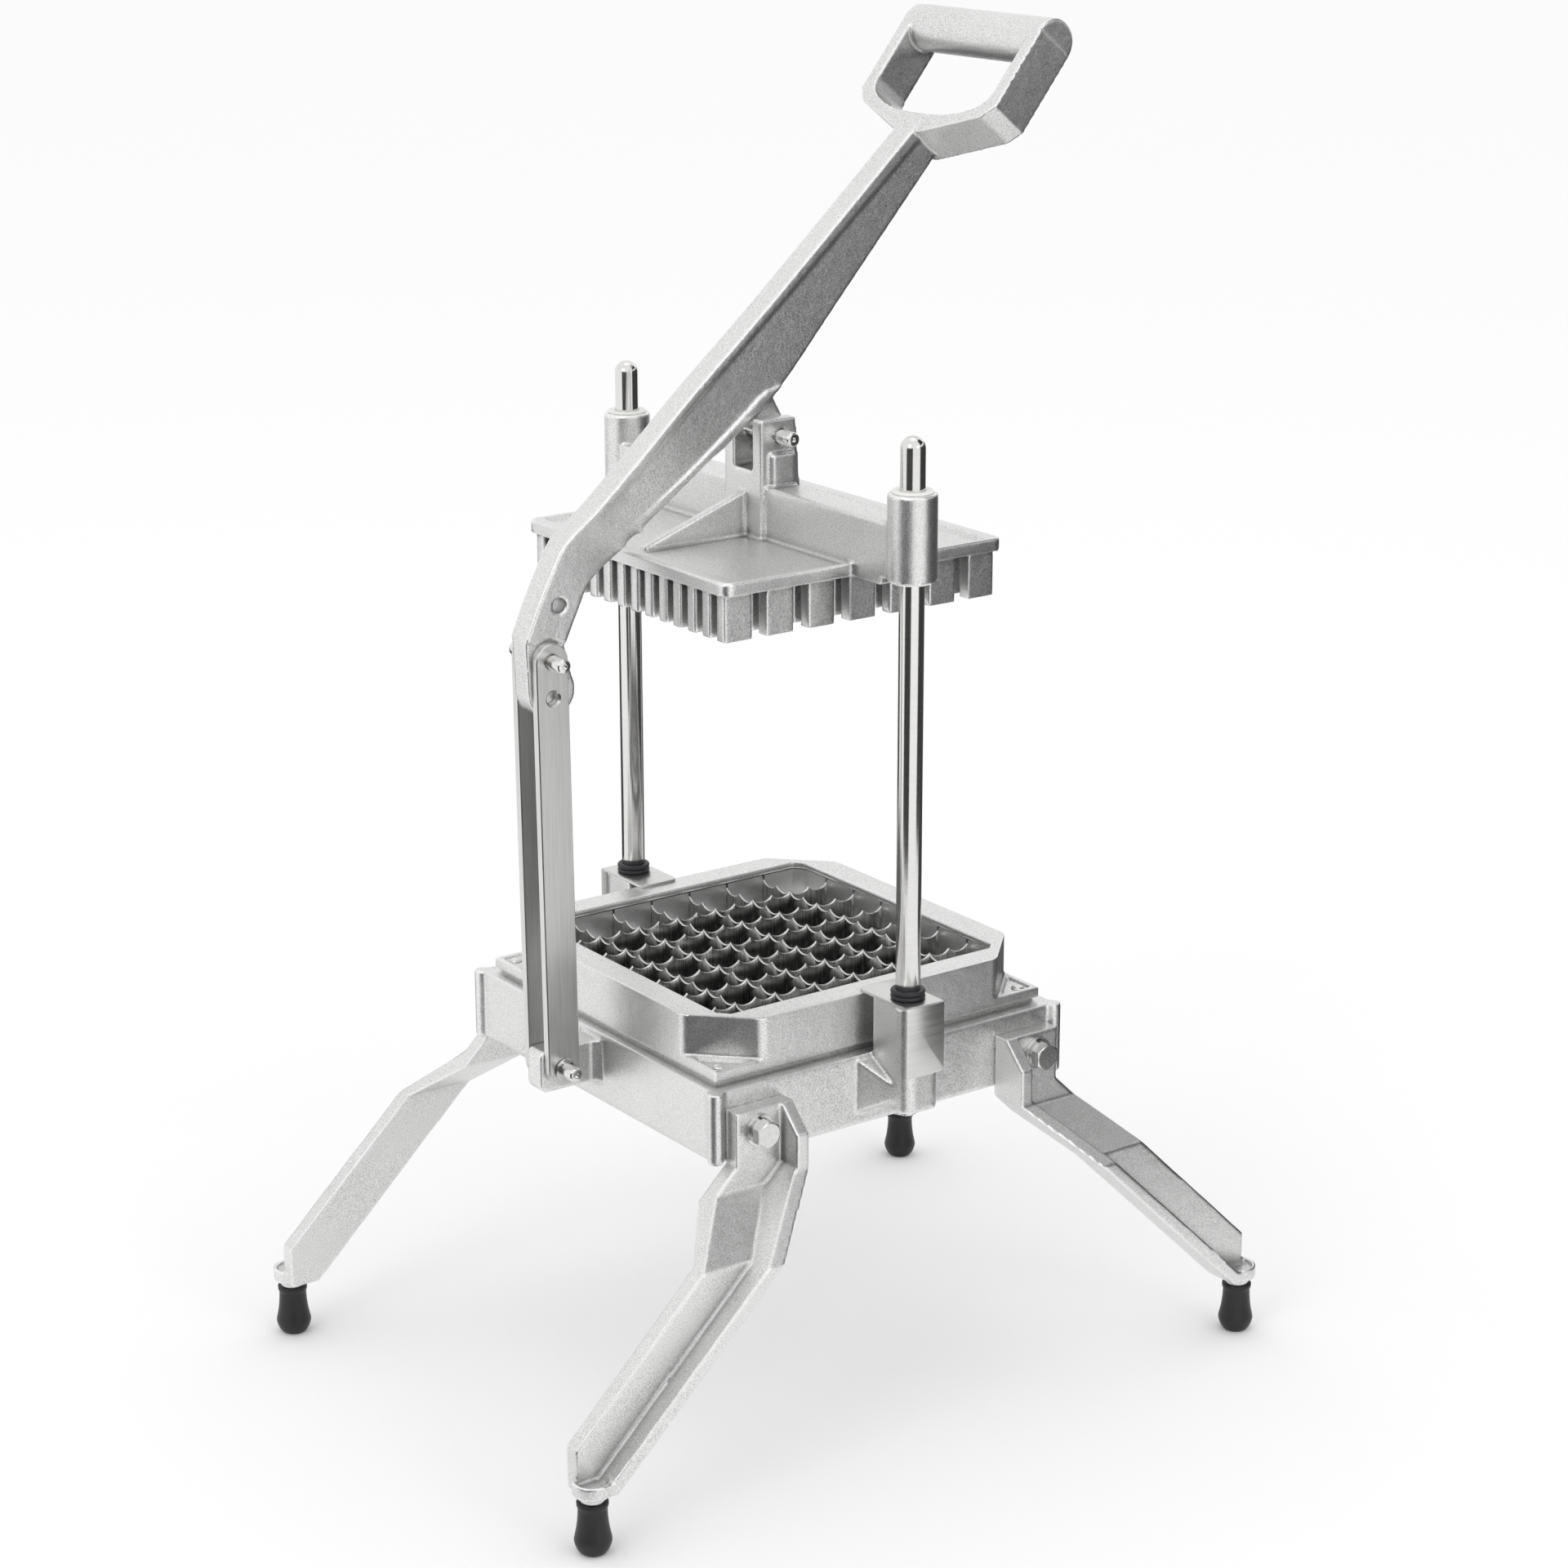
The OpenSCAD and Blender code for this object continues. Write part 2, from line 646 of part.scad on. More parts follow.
// Lays out along +y from the seat of a leg bolt's washer
module at_bolt(y) translate([bolt_x, y, bolt_z]) rotate([-90, 0, 0]) children();

module leg_bolts() color(zinc) four_corners() {
    at_bolt(bolt_seat_y + washer_t + spring_washer_t)
        cylinder(d = bolt_flats / cos(30), h = bolt_head_h, $fn = 6);
    at_bolt(base_half_y - base_wall - nut_h - bolt_tip)
        cylinder(d = bolt_d, h = bolt_tip + nut_h + base_wall + leg_web_t + washer_t + spring_washer_t + bolt_head_h / 2);
}

module washer(d, t, y) difference() {
    at_bolt(y) cylinder(d = d, h = t);
    at_bolt(y - over) cylinder(r = bolt_d / 2 + hole_clear, h = t + 2 * over);
}

module leg_flat_washers() color(zinc) four_corners() washer(washer_d, washer_t, bolt_seat_y);

module leg_spring_washers() color(steel) four_corners()
    washer(spring_washer_d, spring_washer_t, bolt_seat_y + washer_t);

module leg_nuts() color(zinc) four_corners() difference() {
    at_bolt(base_half_y - base_wall - nut_h) cylinder(d = bolt_flats / cos(30), h = nut_h, $fn = 6);
    at_bolt(base_half_y - base_wall - nut_h - over) cylinder(r = bolt_d / 2 + hole_clear, h = nut_h + 2 * over);
}

// Feet

module foot_studs() color(steel) four_corners() translate([foot_x, foot_y, 0]) {
    translate([0, 0, foot_h]) cylinder(d = stud_ring_d, h = stud_ring_h);
    translate([0, 0, foot_h - stud_depth]) cylinder(d = bolt_d, h = stud_depth + stud_ring_h + stud_seat - seat_clear);
}

module rubber_foot() color(black) translate([foot_x, foot_y, 0]) rotate_extrude() difference() {
    polygon(concat(
        [[0, 0], [foot_base_r, 0]],
        curve([[foot_base_r, 0], [foot_flare_r - foot_collar_h / 3, foot_flare_z / 2.5], [foot_flare_r, foot_flare_z],
            [foot_neck_r + foot_collar_h / 8, foot_neck_z], [foot_neck_r, foot_h - foot_collar_h * 1.5],
            [foot_top_r, foot_h - foot_collar_h / 2], [foot_top_r, foot_h]]),
        [[0, foot_h]]));
    translate([0, foot_h - stud_depth - seat_clear]) square([bolt_d / 2 + hole_clear, stud_depth + over]);
}

module foot_link_near() mirror([1, 0, 0]) mirror([0, 1, 0]) rubber_foot();
module foot_link_far() mirror([1, 0, 0]) rubber_foot();
module foot_grip_near() mirror([0, 1, 0]) rubber_foot();
module foot_grip_far() rubber_foot();

// Guide rods

module guide_rod() color(steel) translate([0, rod_y, 0]) difference() {
    rotate_extrude() polygon(concat([[0, boss_z + bore_floor]],
        [[rod_d / 2, boss_z + bore_floor]],
        [for (a = [0 : dome_step : 80]) [rod_d / 2 * cos(a), rod_top_z - rod_d / 2 * (sin(80) - sin(a))]],
        [[0, rod_top_z]]));
    translate([0, 0, boss_z]) cylinder(r = screw_d / 2 + hole_clear, h = screw_l + seat_clear);
}

module guide_rod_near() mirror([0, 1, 0]) guide_rod();
module guide_rod_far() guide_rod();

module rod_screws() color(zinc) both_ends() translate([0, rod_y, 0]) {
    translate([0, 0, boss_z - screw_head_h]) cylinder(d = screw_head_d, h = screw_head_h);
    translate([0, 0, boss_z - screw_head_h / 2]) cylinder(d = screw_d, h = screw_head_h / 2 + screw_l);
}

// Two round beads, one over the other
module rod_bumpers() color(black) both_ends() translate([0, rod_y, bumper_z]) rotate_extrude() polygon(concat(
    [[rod_d / 2 + hole_clear, bumper_h], [rod_d / 2 + hole_clear, 0]],
    [for (k = [0 : 2 * bead_steps])
        [bumper_d / 2 - bumper_h / 4 * (1 - abs(sin(180 * k / bead_steps))), bumper_h * k / (2 * bead_steps)]]));

module bracket() color(steel) difference() {
    union() {
        translate([0, 0, bracket_z]) linear_extrude(bracket_t) {
            translate([-boss_w / 2, frame_half - bracket_over + bracket_r])
                square([boss_w, boss_half_y + bracket_t - frame_half + bracket_over - bracket_r]);
            translate([-boss_w / 2 + bracket_r, frame_half - bracket_over])
                square([boss_w - 2 * bracket_r, 2 * bracket_r]);
            for (x = [-1, 1])
                translate([x * (boss_w / 2 - bracket_r), frame_half - bracket_over + bracket_r]) circle(bracket_r);
        }
        box([-boss_w / 2, boss_half_y, bracket_z + bracket_t - bracket_drop],
            [boss_w / 2, boss_half_y + bracket_t, bracket_z + bracket_t]);
    }
    translate([0, rod_y, bracket_z - over]) cylinder(r = rod_d / 2 + seat_clear, h = bracket_t + 2 * over);
}

module bracket_near() mirror([0, 1, 0]) bracket();
module bracket_far() bracket();

// Blade frame

module pad_triangle() {
    reach = frame_half - pad_edge;
    start = frame_line + pad_edge - reach;
    polygon([[reach, start], [reach, reach], [start, reach]]);
}

module blade_frame() color(cast) difference() {
    translate([0, 0, frame_z]) union() {
        linear_extrude(flange_t) square(2 * frame_half, center = true);
        linear_extrude(frame_h) cut_square(frame_half, frame_line);
    }
    translate([0, 0, frame_z - over]) linear_extrude(frame_h + 2 * over) cut_square(opening_half, opening_line);
    translate([0, 0, frame_z - over]) linear_extrude(frame_h - lip_t + over)
        cut_square(holder_half + seat_clear, holder_line + sqrt(2) * seat_clear);
    for (x = [-1, 1], y = [-1, 1]) {
        translate([0, 0, frame_z + flange_t - pad_depth]) linear_extrude(pad_depth + over)
            scale([x, y]) pad_triangle();
        translate([x * (frame_half - rivet_inset), y * (frame_half - rivet_inset), frame_z - over])
            cylinder(r = rivet_d / 2 + hole_clear, h = flange_t + 2 * over);
    }
}

module frame_rivets() color(steel) four_corners()
    translate([frame_half - rivet_inset, frame_half - rivet_inset, 0]) {
        translate([0, 0, base_top_z - flange_t + seat_clear]) cylinder(d = rivet_d, h = 2 * flange_t + seat_h - pad_depth);
        translate([0, 0, frame_z + flange_t - pad_depth]) cylinder(d = rivet_head_d, h = rivet_head_h);
    }

module blade_holder() color(cast) difference() {
    translate([0, 0, frame_z]) linear_extrude(frame_h - lip_t - seat_clear) difference() {
        cut_square(holder_half, holder_line);
        cut_square(opening_half, opening_line);
    }
    for (i = [1 : cells - 1], a = [0, 90]) rotate([0, 0, a])
        translate([i * cell - opening_half, 0, blade_z + frame_h / 2])
            cube([blade_t + 2 * hole_clear, 2 * (opening_half + blade_seat), frame_h], center = true);
}

// One blade along x: scalloped edge up, half-lap notches from the top or from below
module blade(from_top) {
    half = opening_half + blade_seat - seat_clear;
    notch_w = blade_t + 2 * hole_clear;
    in_plane(blade_t) difference() {
        translate([-half, 0]) square([2 * half, blade_h]);
        for (i = [0 : cells * scallops - 1])
            translate([(i + 1 / 2) * scallop_w - opening_half, blade_h - scallop_depth + scallop_r]) circle(scallop_r);
        for (i = [1 : cells - 1])
            translate([i * cell - opening_half - notch_w / 2, from_top ? blade_h / 2 - hole_clear : -over])
                square([notch_w, blade_h / 2 + over + hole_clear]);
    }
}

module blades_lever_way() color(blade_steel)
    for (i = [1 : cells - 1]) translate([0, i * cell - opening_half, blade_z]) blade(true);

module blades_rod_way() color(blade_steel)
    for (i = [1 : cells - 1]) translate([i * cell - opening_half, 0, blade_z]) rotate([0, 0, 90]) blade(false);

// Pins

// A pin along y, with a groove near each end; reach is half of what it carries
module grooved_pin(p, reach) color(steel) translate([p[0], 0, p[1]]) rotate([90, 0, 0]) rotate_extrude() {
    r = pin_d / 2;
    end = reach + pin_free;
    groove = reach + clip_gap;
    half = [[r - groove_depth, groove], [r - groove_depth, groove + groove_w], [r, groove + groove_w],
        [r, end - pin_chamfer], [r - pin_chamfer, end], [0, end]];
    polygon(concat([[r, groove]], half, [for (q = reversed(half)) [q[0], -q[1]]], [[r, -groove]]));
}

// A clip in a pin's groove; side is 1 for +y and -1 for -y
module clip(p, reach, side) color(zinc) translate([p[0], side * (reach + clip_gap + groove_w / 2), p[1]])
    rotate([90, 0, 0]) difference() {
        cylinder(d = clip_d, h = clip_t, center = true);
        cylinder(d = pin_d - 2 * groove_depth + hole_clear, h = clip_t + over, center = true);
        translate([-pin_d / 4, 0, -clip_t]) cube([pin_d / 2, clip_d, 2 * clip_t]);
    }

link_reach = link_gap / 2 + link_t;
spare_hole = pin_up - (pin_up - pin_low) * spare_hole_step / link_l;
clevis_reach = clevis_gap / 2 + post_t;

module lower_link_pin() grooved_pin(pin_low, link_reach);
module lower_pin_clips() {
    clip(pin_low, link_reach, -1);
    clip(pin_low, link_reach, 1);
}
module upper_link_pin() grooved_pin(pin_up, link_reach);
module upper_pin_clip() clip(pin_up, link_reach, 1);
module clevis_pin() grooved_pin(pin_head, clevis_reach);
module clevis_pin_clip() clip(pin_head, clevis_reach, 1);

// Push head

module fingers() color(cast) difference() {
    box([slot_x / 2 - opening_half, slot_y / 2 - opening_half, finger_z],
        [opening_half - slot_x / 2, opening_half - slot_y / 2, plate_z]);
    for (i = [1 : cells - 1]) translate([i * cell - opening_half - slot_x / 2, -opening_half, finger_z - over])
        cube([slot_x, 2 * opening_half, finger_l + over]);
    for (i = [1 : 2 * cells - 1])
        translate([-opening_half, i * cell / 2 - opening_half - slot_y / 2, finger_z - over])
            cube([2 * opening_half, slot_y, finger_l + over]);
}

module post_outline() polygon([
    [-post_in, plate_z + over], [-post_in, pin_z + post_above_pin], [post_out, pin_z + post_above_pin],
    [post_out + post_spread, beam_top_z], [post_out + post_spread, plate_z + over]
]);

module rib_outline() polygon([
    [0, plate_z + over], [0, beam_top_z - plate_t / 2], [post_in, beam_top_z - plate_t / 2],
    [post_in + rib_l, plate_top_z], [post_in + rib_l, plate_z + over]
]);

// The plate's rim and floor, from the level z up
module plate_body(z) difference() {
    translate([0, 0, z]) linear_extrude(plate_top_z - z) round_rect(plate_half_x, plate_half_y, plate_r);
    translate([0, 0, plate_top_z - pan_depth]) linear_extrude(pan_depth + over)
        round_rect(plate_half_x - pan_edge_x, plate_half_y - pan_edge_y, plate_r - pan_edge_y / 2);
}

module finger_plate() color(cast) plate_body(plate_z);

// The cross beam with a collar for each rod
module head_beam() difference() {
    union() {
        box([-beam_w / 2, -rod_y, plate_z], [beam_w / 2, rod_y, beam_top_z]);
        both_ends() translate([0, rod_y, collar_z]) cylinder(d = collar_d, h = collar_h);
    }
    both_ends() {
        translate([0, rod_y, collar_z - over]) cylinder(r = bush_d / 2 + hole_clear, h = collar_h + 2 * over);
        box([-beam_w, rod_y - collar_d * 0.54, plate_z - over], [beam_w, rod_y + collar_d, collar_z]);
    }
}

// The clevis on the beam, its middle web and the ribs down to the plate
module head_clevis() {
    difference() {
        both_ends() {
            in_plane(post_t, clevis_gap / 2 + post_t / 2) post_outline();
            box([-post_rib_in, clevis_reach - over, beam_top_z - over],
                [post_rib_out, clevis_reach + post_rib_t, pin_z - post_rib_below]);
        }
        cross_cylinder(pin_d + 2 * hole_clear, 2 * clevis_reach + 2 * over, pin_head);
    }
    box([-post_in, -clevis_gap / 2 - over, plate_z + over],
        [post_out, clevis_gap / 2 + over, pin_z - web_below_pin]);
    for (x = [0, 1]) mirror([x, 0, 0]) in_plane(rib_t) rib_outline();
}

module push_head() color(cast) difference() {
    union() {
        head_beam();
        head_clevis();
    }
    plate_body(plate_z - over);
}

module bushes() color(white) translate([0, rod_y, 0]) for (s = [[collar_z, -1], [collar_top_z, 1]])
    translate([0, 0, s[0]]) difference() {
        union() {
            translate([0, 0, s[1] > 0 ? -bush_l : 0]) cylinder(d = bush_d, h = bush_l);
            translate([0, 0, s[1] > 0 ? 0 : -bush_flange_t])
                cylinder(d = bush_flange_d, h = bush_flange_t);
        }
        translate([0, 0, -bush_l - over]) cylinder(r = rod_d / 2 + hole_clear, h = 2 * (bush_l + over));
    }

module bushes_near() mirror([0, 1, 0]) bushes();
module bushes_far() bushes();

// Link

module link_bar() color(steel) difference() {
    union() {
        for (p = [pin_low, pin_up]) cross_cylinder(link_w + 2 * end_step, link_t, p, link_reach - link_t / 2);
        translate([pin_low[0], link_reach - link_t, pin_low[1]]) rotate([0, 90 - angle_rest, 0])
            translate([-link_w / 2, 0, 0]) cube([link_w, link_t, link_l]);
    }
    for (p = [pin_low, pin_up])
        cross_cylinder(pin_d + 2 * hole_clear, link_t + 2 * over, p, link_reach - link_t / 2);
    cross_cylinder(spare_hole_d, link_t + 2 * over, spare_hole, link_reach - link_t / 2);
    translate([spare_hole[0], link_reach + over, spare_hole[1]]) rotate([90, 0, 0])
        cylinder(d1 = spare_hole_d + 2 * hole_chamfer + 2 * over, d2 = spare_hole_d, h = hole_chamfer + over);
}

module link_bar_near() mirror([0, 1, 0]) link_bar();
module link_bar_far() link_bar();

// Lever

// The link bars' width about the upper pin, at every turn of the lever
module bar_sweep() translate(pin_up) {
    circle(link_w / 2 + sweep_room);
    for (i = [0 : sweep_stops]) rotate(lever_turn * i / sweep_stops + angle_rest + 180)
        translate([0, -link_w / 2 - sweep_room / 2]) square([link_l / 4, link_w + sweep_room]);
}

module tail_outline() {
    tail = pin_up + [tail_shift, -tail_drop];
    translate(tail) circle(tail_r);
    polygon(concat(on_arm([top_shares[1], top_shares[0]]), [tail - [tail_r, 0], tail + [tail_r, 0]],
        on_arm([under_shares[0], under_shares[1]])));
}

// The slot that leaves the clevis pin its way out of the lug and back: the outline of that way, a radius wider
module pin_slot() {
    r = pin_d / 2 + pin_room;
    stops = [for (i = [0 : slot_stops]) pin_in_lever(i / slot_stops)];
    ways = [for (i = [0 : slot_stops - 1]) (stops[i + 1] - stops[i]) / norm(stops[i + 1] - stops[i])];
    sides = [for (w = ways) r * [w[1], -w[0]]];
    from = atan2(sides[slot_stops - 1][1], sides[slot_stops - 1][0]);
    turn = acos(sides[slot_stops - 1] * sides[0] / (r * r));
    in_plane(lever_t + 2 * over) polygon(concat(
        [for (i = [0 : slot_stops - 1]) (stops[i] + stops[i + 1]) / 2 + sides[i]],
        [for (k = [0 : slot_steps]) let (a = from + turn * k / slot_steps) pin_head + r * [cos(a), sin(a)]]));
}

// The recess in the arm's sides, which runs out over the lower edge beyond the lug
module side_recess_cut() {
    upper = [for (q = on_arm([for (k = [4 : 7]) top_shares[k]])) q + down * side_edge];
    lower = [for (q = on_arm([for (k = [4 : 7]) under_shares[k]])) q - down * side_edge];
    run_out = [for (q = on_arm([for (k = [8 : 10]) under_shares[k]])) q + down * side_edge];
    both_ends() in_plane(side_recess + over, lever_t / 2 + over / 2 - side_recess / 2)
        polygon(concat(curve(concat(upper, [bend - along * web_l + down * side_edge])),
            reversed(curve(concat(lower, run_out)))));
}

// The curved foot of the finger opening, w to each side of the middle
function opening_curve_points(w) = [for (k = [0 : 2 * opening_steps]) let (a = 90 * k / opening_steps)
    [w * sign(cos(a)) * pow(abs(cos(a)), 2 / opening_power),
        opening_curve * (1 - pow(abs(sin(a)), 2 / opening_power)) - opening_drop]];

// Lays a drawing of y and the length along the handle into the handle's plane, from the depth a to b
module in_handle(a, b) translate([bend[0] + down[0] * a, 0, bend[1] + down[1] * a])
    rotate([0, 90 - handle_tilt, 0]) rotate([90, 0, 90]) linear_extrude(b - a) children();

module handle_outline() {
    w = handle_w / 2;
    v = w - handle_arm_t * 0.8;
    polygon([[-w, handle_l - arm_step], [-w, handle_arm_t * 0.1], [-v, -web_l * 0.28], [-lever_t / 4, -web_l],
        [lever_t / 4, -web_l], [v, -web_l * 0.28], [w, handle_arm_t * 0.1], [w, handle_l - arm_step]]);
}

module handle() {
    difference() {
        in_handle(arm_step, grip_d - arm_step) handle_outline();
        in_handle(-over, grip_d + over) polygon(concat(opening_curve_points(handle_w / 2 - handle_arm_t),
            [[handle_arm_t - handle_w / 2, handle_l], [handle_w / 2 - handle_arm_t, handle_l]]));
    }
    cross_cylinder(grip_d, handle_w - 2 * arm_step, grip);
}

module lever() color(cast) difference() {
    union() {
        difference() {
            in_plane(lever_t) polygon(arm_outline());
            in_plane(lever_t + 2 * over) bar_sweep();
            side_recess_cut();
        }
        in_plane(tail_t) {
            polygon(arm_outline());
            tail_outline();
        }
        in_plane(lug_t) polygon(concat(on_arm(lug_root_shares),
            [pin_head + lug_eye_r * [cos(20), sin(20)], pin_head + lug_eye_r * [cos(150), sin(150)]]));
        cross_cylinder(2 * lug_eye_r, lug_t, pin_head);
        handle();
    }
    pin_slot();
    cross_cylinder(pin_d + 2 * hole_clear, lever_t + 2 * over, pin_up);
    cross_cylinder(lever_hole_d, lever_t + 2 * over,
        pin_up + [lever_run * lever_hole_shares[0], lever_rise * lever_hole_shares[1]]);
}

base_frame();
leg_link_near();
leg_link_far();
leg_grip_near();
leg_grip_far();
leg_bolts();
leg_flat_washers();
leg_spring_washers();
leg_nuts();
foot_studs();
foot_link_near();
foot_link_far();
foot_grip_near();
foot_grip_far();
guide_rod_near();
guide_rod_far();
rod_screws();
rod_bumpers();
bracket_near();
bracket_far();
blade_frame();
frame_rivets();
blade_holder();
blades_lever_way();
blades_rod_way();
lower_link_pin();
lower_pin_clips();
fingers();
finger_plate();
push_head();
bushes_near();
bushes_far();
clevis_pin();
clevis_pin_clip();
lever();
link_bar_near();
link_bar_far();
upper_link_pin();
upper_pin_clip();
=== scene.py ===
import json
import math

import bpy
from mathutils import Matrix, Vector


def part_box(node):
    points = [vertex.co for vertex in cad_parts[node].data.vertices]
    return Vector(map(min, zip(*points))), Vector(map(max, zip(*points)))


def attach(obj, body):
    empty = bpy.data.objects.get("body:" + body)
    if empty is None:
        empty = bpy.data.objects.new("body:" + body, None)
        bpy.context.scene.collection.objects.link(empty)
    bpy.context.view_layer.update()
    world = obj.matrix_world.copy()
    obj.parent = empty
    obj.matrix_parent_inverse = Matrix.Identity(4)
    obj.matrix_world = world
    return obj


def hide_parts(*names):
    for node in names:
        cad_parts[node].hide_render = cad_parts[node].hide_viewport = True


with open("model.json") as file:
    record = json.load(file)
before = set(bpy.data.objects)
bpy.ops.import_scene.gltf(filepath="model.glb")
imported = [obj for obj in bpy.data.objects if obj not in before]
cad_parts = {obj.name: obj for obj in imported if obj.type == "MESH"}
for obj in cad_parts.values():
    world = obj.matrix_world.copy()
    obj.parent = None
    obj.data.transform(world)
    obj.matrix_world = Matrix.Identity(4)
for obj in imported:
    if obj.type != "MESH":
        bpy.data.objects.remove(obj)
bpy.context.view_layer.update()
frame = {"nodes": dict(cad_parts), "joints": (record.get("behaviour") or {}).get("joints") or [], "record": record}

bl_info = {
    "name": "Lever vegetable cutter",
    "version": (1, 0, 0),
    "blender": (4, 5, 0),
    "location": "View3D > Sidebar > Cutter",
    "description": "Dresses the packed cutter: castings, rods, blades, link, fasteners, feet and stage",
    "category": "Mesh",
}

MM = 0.001
SLOTS = {m["slot"]: m["base_color"] for m in frame["record"]["materials"]}
CORNERS = [(x, y) for x in (-1, 1) for y in (-1, 1)]
SIDES = (("near", -1), ("far", 1))

# leg bolts: across the flats, across the corners, shank radius, head, nut, and both washers together
BOLT_FLATS = 13 * MM
BOLT_CORNERS = BOLT_FLATS / math.cos(math.pi / 6)
BOLT_SHANK = 4 * MM
BOLT_HEAD = 5.5 * MM
NUT_HEIGHT = 6.5 * MM
WASHERS = 3.6 * MM

# pins: how far they stand out past what they hold, then the groove for the clip
PIN_STANDOUT = 11.5 * MM
GROOVE_GAP = 0.3 * MM
GROOVE_WIDTH = 1.3 * MM
GROOVE_DEPTH = 0.8 * MM
CLIP_BORE = 3.22 * MM

# softboxes: name, place, size in metres, watts
LAMPS = (("key_softbox", (-2.6, -0.9, 1.9), 1.2, 9),
         ("fill_softbox", (0.4, -2.8, 1.4), 0.8, 4),
         ("top_softbox", (0.2, 0.3, 3.2), 1.6, 2.5))
LAMP_AIM = (0, 0, 0.35)

# dark cards: name, azimuth and spread in degrees, (distance, height) of the near and the far edge
CARDS = (("card_left", -61, 54, (0.36, 0), (1.1, 0.7)),
         ("card_front", 38, 28, (0.52, 0), (1.2, 0.8)),
         ("card_right", 80, 58, (0.36, 0), (1.2, 0.8)),
         ("card_back", 158, 92, (0.36, 0), (0.9, 0.24)),
         ("card_above", 60, 52, (1.05, 0.95), (0.55, 1.35)))

# the camera, solved from the photo: azimuth, elevation and roll in degrees, what it aims at, how far off
# it stands, and its lens on a sensor of this width
CAMERA_TURN = (-35.894, 17.053, 0.062)
CAMERA_AIM = Vector((-24.636, -53.819, 334.551)) * MM
CAMERA_DISTANCE = 1826.265 * MM
CAMERA_LENS, CAMERA_SENSOR = 81.720, 36


# Working in the viewport: picking, editing, finishing a piece

def pick(*pieces):
    """Selects these pieces alone; the first is active."""
    bpy.ops.object.select_all(action="DESELECT")
    for p in pieces:
        p.select_set(True)
    bpy.context.view_layer.objects.active = pieces[0]


def edit(piece, kind="FACE"):
    """Opens a piece for editing with all of it selected."""
    pick(piece)
    bpy.ops.object.mode_set(mode="EDIT")
    bpy.ops.mesh.select_mode(type=kind)
    bpy.ops.mesh.select_all(action="SELECT")


def leave():
    """Closes the piece that is open for editing."""
    bpy.ops.object.mode_set(mode="OBJECT")


def edit_only(piece, kind, wanted):
    """Opens a piece for editing with only the corners, edges or faces selected that are wanted."""
    edit(piece, kind)
    bpy.ops.mesh.select_all(action="DESELECT")
    leave()
    for part in getattr(piece.data, {"VERT": "vertices", "EDGE": "edges", "FACE": "polygons"}[kind]):
        part.select = wanted(part)
    bpy.ops.object.mode_set(mode="EDIT")


def bevel_edges(piece, wanted, width, segments):
    """Bevels the edges that are wanted."""
    edit_only(piece, "EDGE", wanted)
    bpy.ops.mesh.bevel(offset=width, segments=segments, affect="EDGES")
    leave()


def named(name):
    """Names the piece that was just made."""
    piece = bpy.context.active_object
    piece.name = piece.data.name = name
    return piece


def modify(piece, kind, **settings):
    """Adds a modifier with these settings and applies it."""
    pick(piece)
    m = piece.modifiers.new(kind.title(), kind)
    for key, value in settings.items():
        setattr(m, key, value)
    bpy.ops.object.modifier_apply(modifier=m.name)
    return piece


def outward(piece):
    """Merges what meets and turns the faces outward."""
    edit(piece)
    bpy.ops.mesh.remove_doubles(threshold=2e-6)
    bpy.ops.mesh.normals_make_consistent(inside=False)
    leave()
    return piece


def smooth(piece, angle=35):
    """Shades a piece smooth where its faces meet at less than the angle."""
    pick(piece)
    bpy.ops.object.shade_smooth_by_angle(angle=math.radians(angle))
    return piece


def broken_edges(piece, width, segments, angle):
    """Rounds every edge that is sharper than the angle."""
    return modify(piece, "BEVEL", width=width, segments=segments, limit_method="ANGLE",
                  angle_limit=math.radians(angle), use_clamp_overlap=False, miter_outer="MITER_ARC")


def cut(piece, tool, how="DIFFERENCE"):
    """Cuts a tool's shape from a piece, or keeps what both hold, and takes the tool away."""
    modify(piece, "BOOLEAN", operation=how, object=tool, solver="EXACT")
    bpy.data.objects.remove(tool)
    return piece


def joined(name, pieces):
    """Makes one piece of several."""
    pick(*pieces)
    if len(pieces) > 1:
        bpy.ops.object.join()
    return named(name)


def settle(piece):
    """Works a piece's place, turn and scale into its mesh."""
    pick(piece)
    bpy.ops.object.transform_apply(location=True, rotation=True, scale=True)
    return piece


def placed(piece, name, at=(0, 0, 0), turn=(0, 0, 0), flip=(1, 1, 1)):
    """A copy of a piece with a mesh of its own, turned, flipped and moved to its place."""
    pick(piece)
    bpy.ops.object.duplicate(linked=False)
    copy = named(name)
    copy.location, copy.rotation_euler, copy.scale = at, turn, flip
    settle(copy)
    return copy if flip == (1, 1, 1) else outward(copy)


def spare(piece):
    """Takes away a pattern that has been copied."""
    bpy.data.objects.remove(piece)


def set_out(name, pattern, places, turns=None):
    """One piece made of a pattern's copies at these places; the pattern goes."""
    turns = turns or [(0, 0, 0)] * len(places)
    copies = [placed(pattern, "copy", at=at, turn=turn) for at, turn in zip(places, turns)]
    spare(pattern)
    return joined(name, copies)


def block(name, low, high):
    """A block between two corners."""
    bpy.ops.object.select_all(action="DESELECT")
    bpy.ops.mesh.primitive_cube_add(size=1, location=[(a + b) / 2 for a, b in zip(low, high)])
    piece = named(name)
    piece.scale = [b - a for a, b in zip(low, high)]
    return settle(piece)


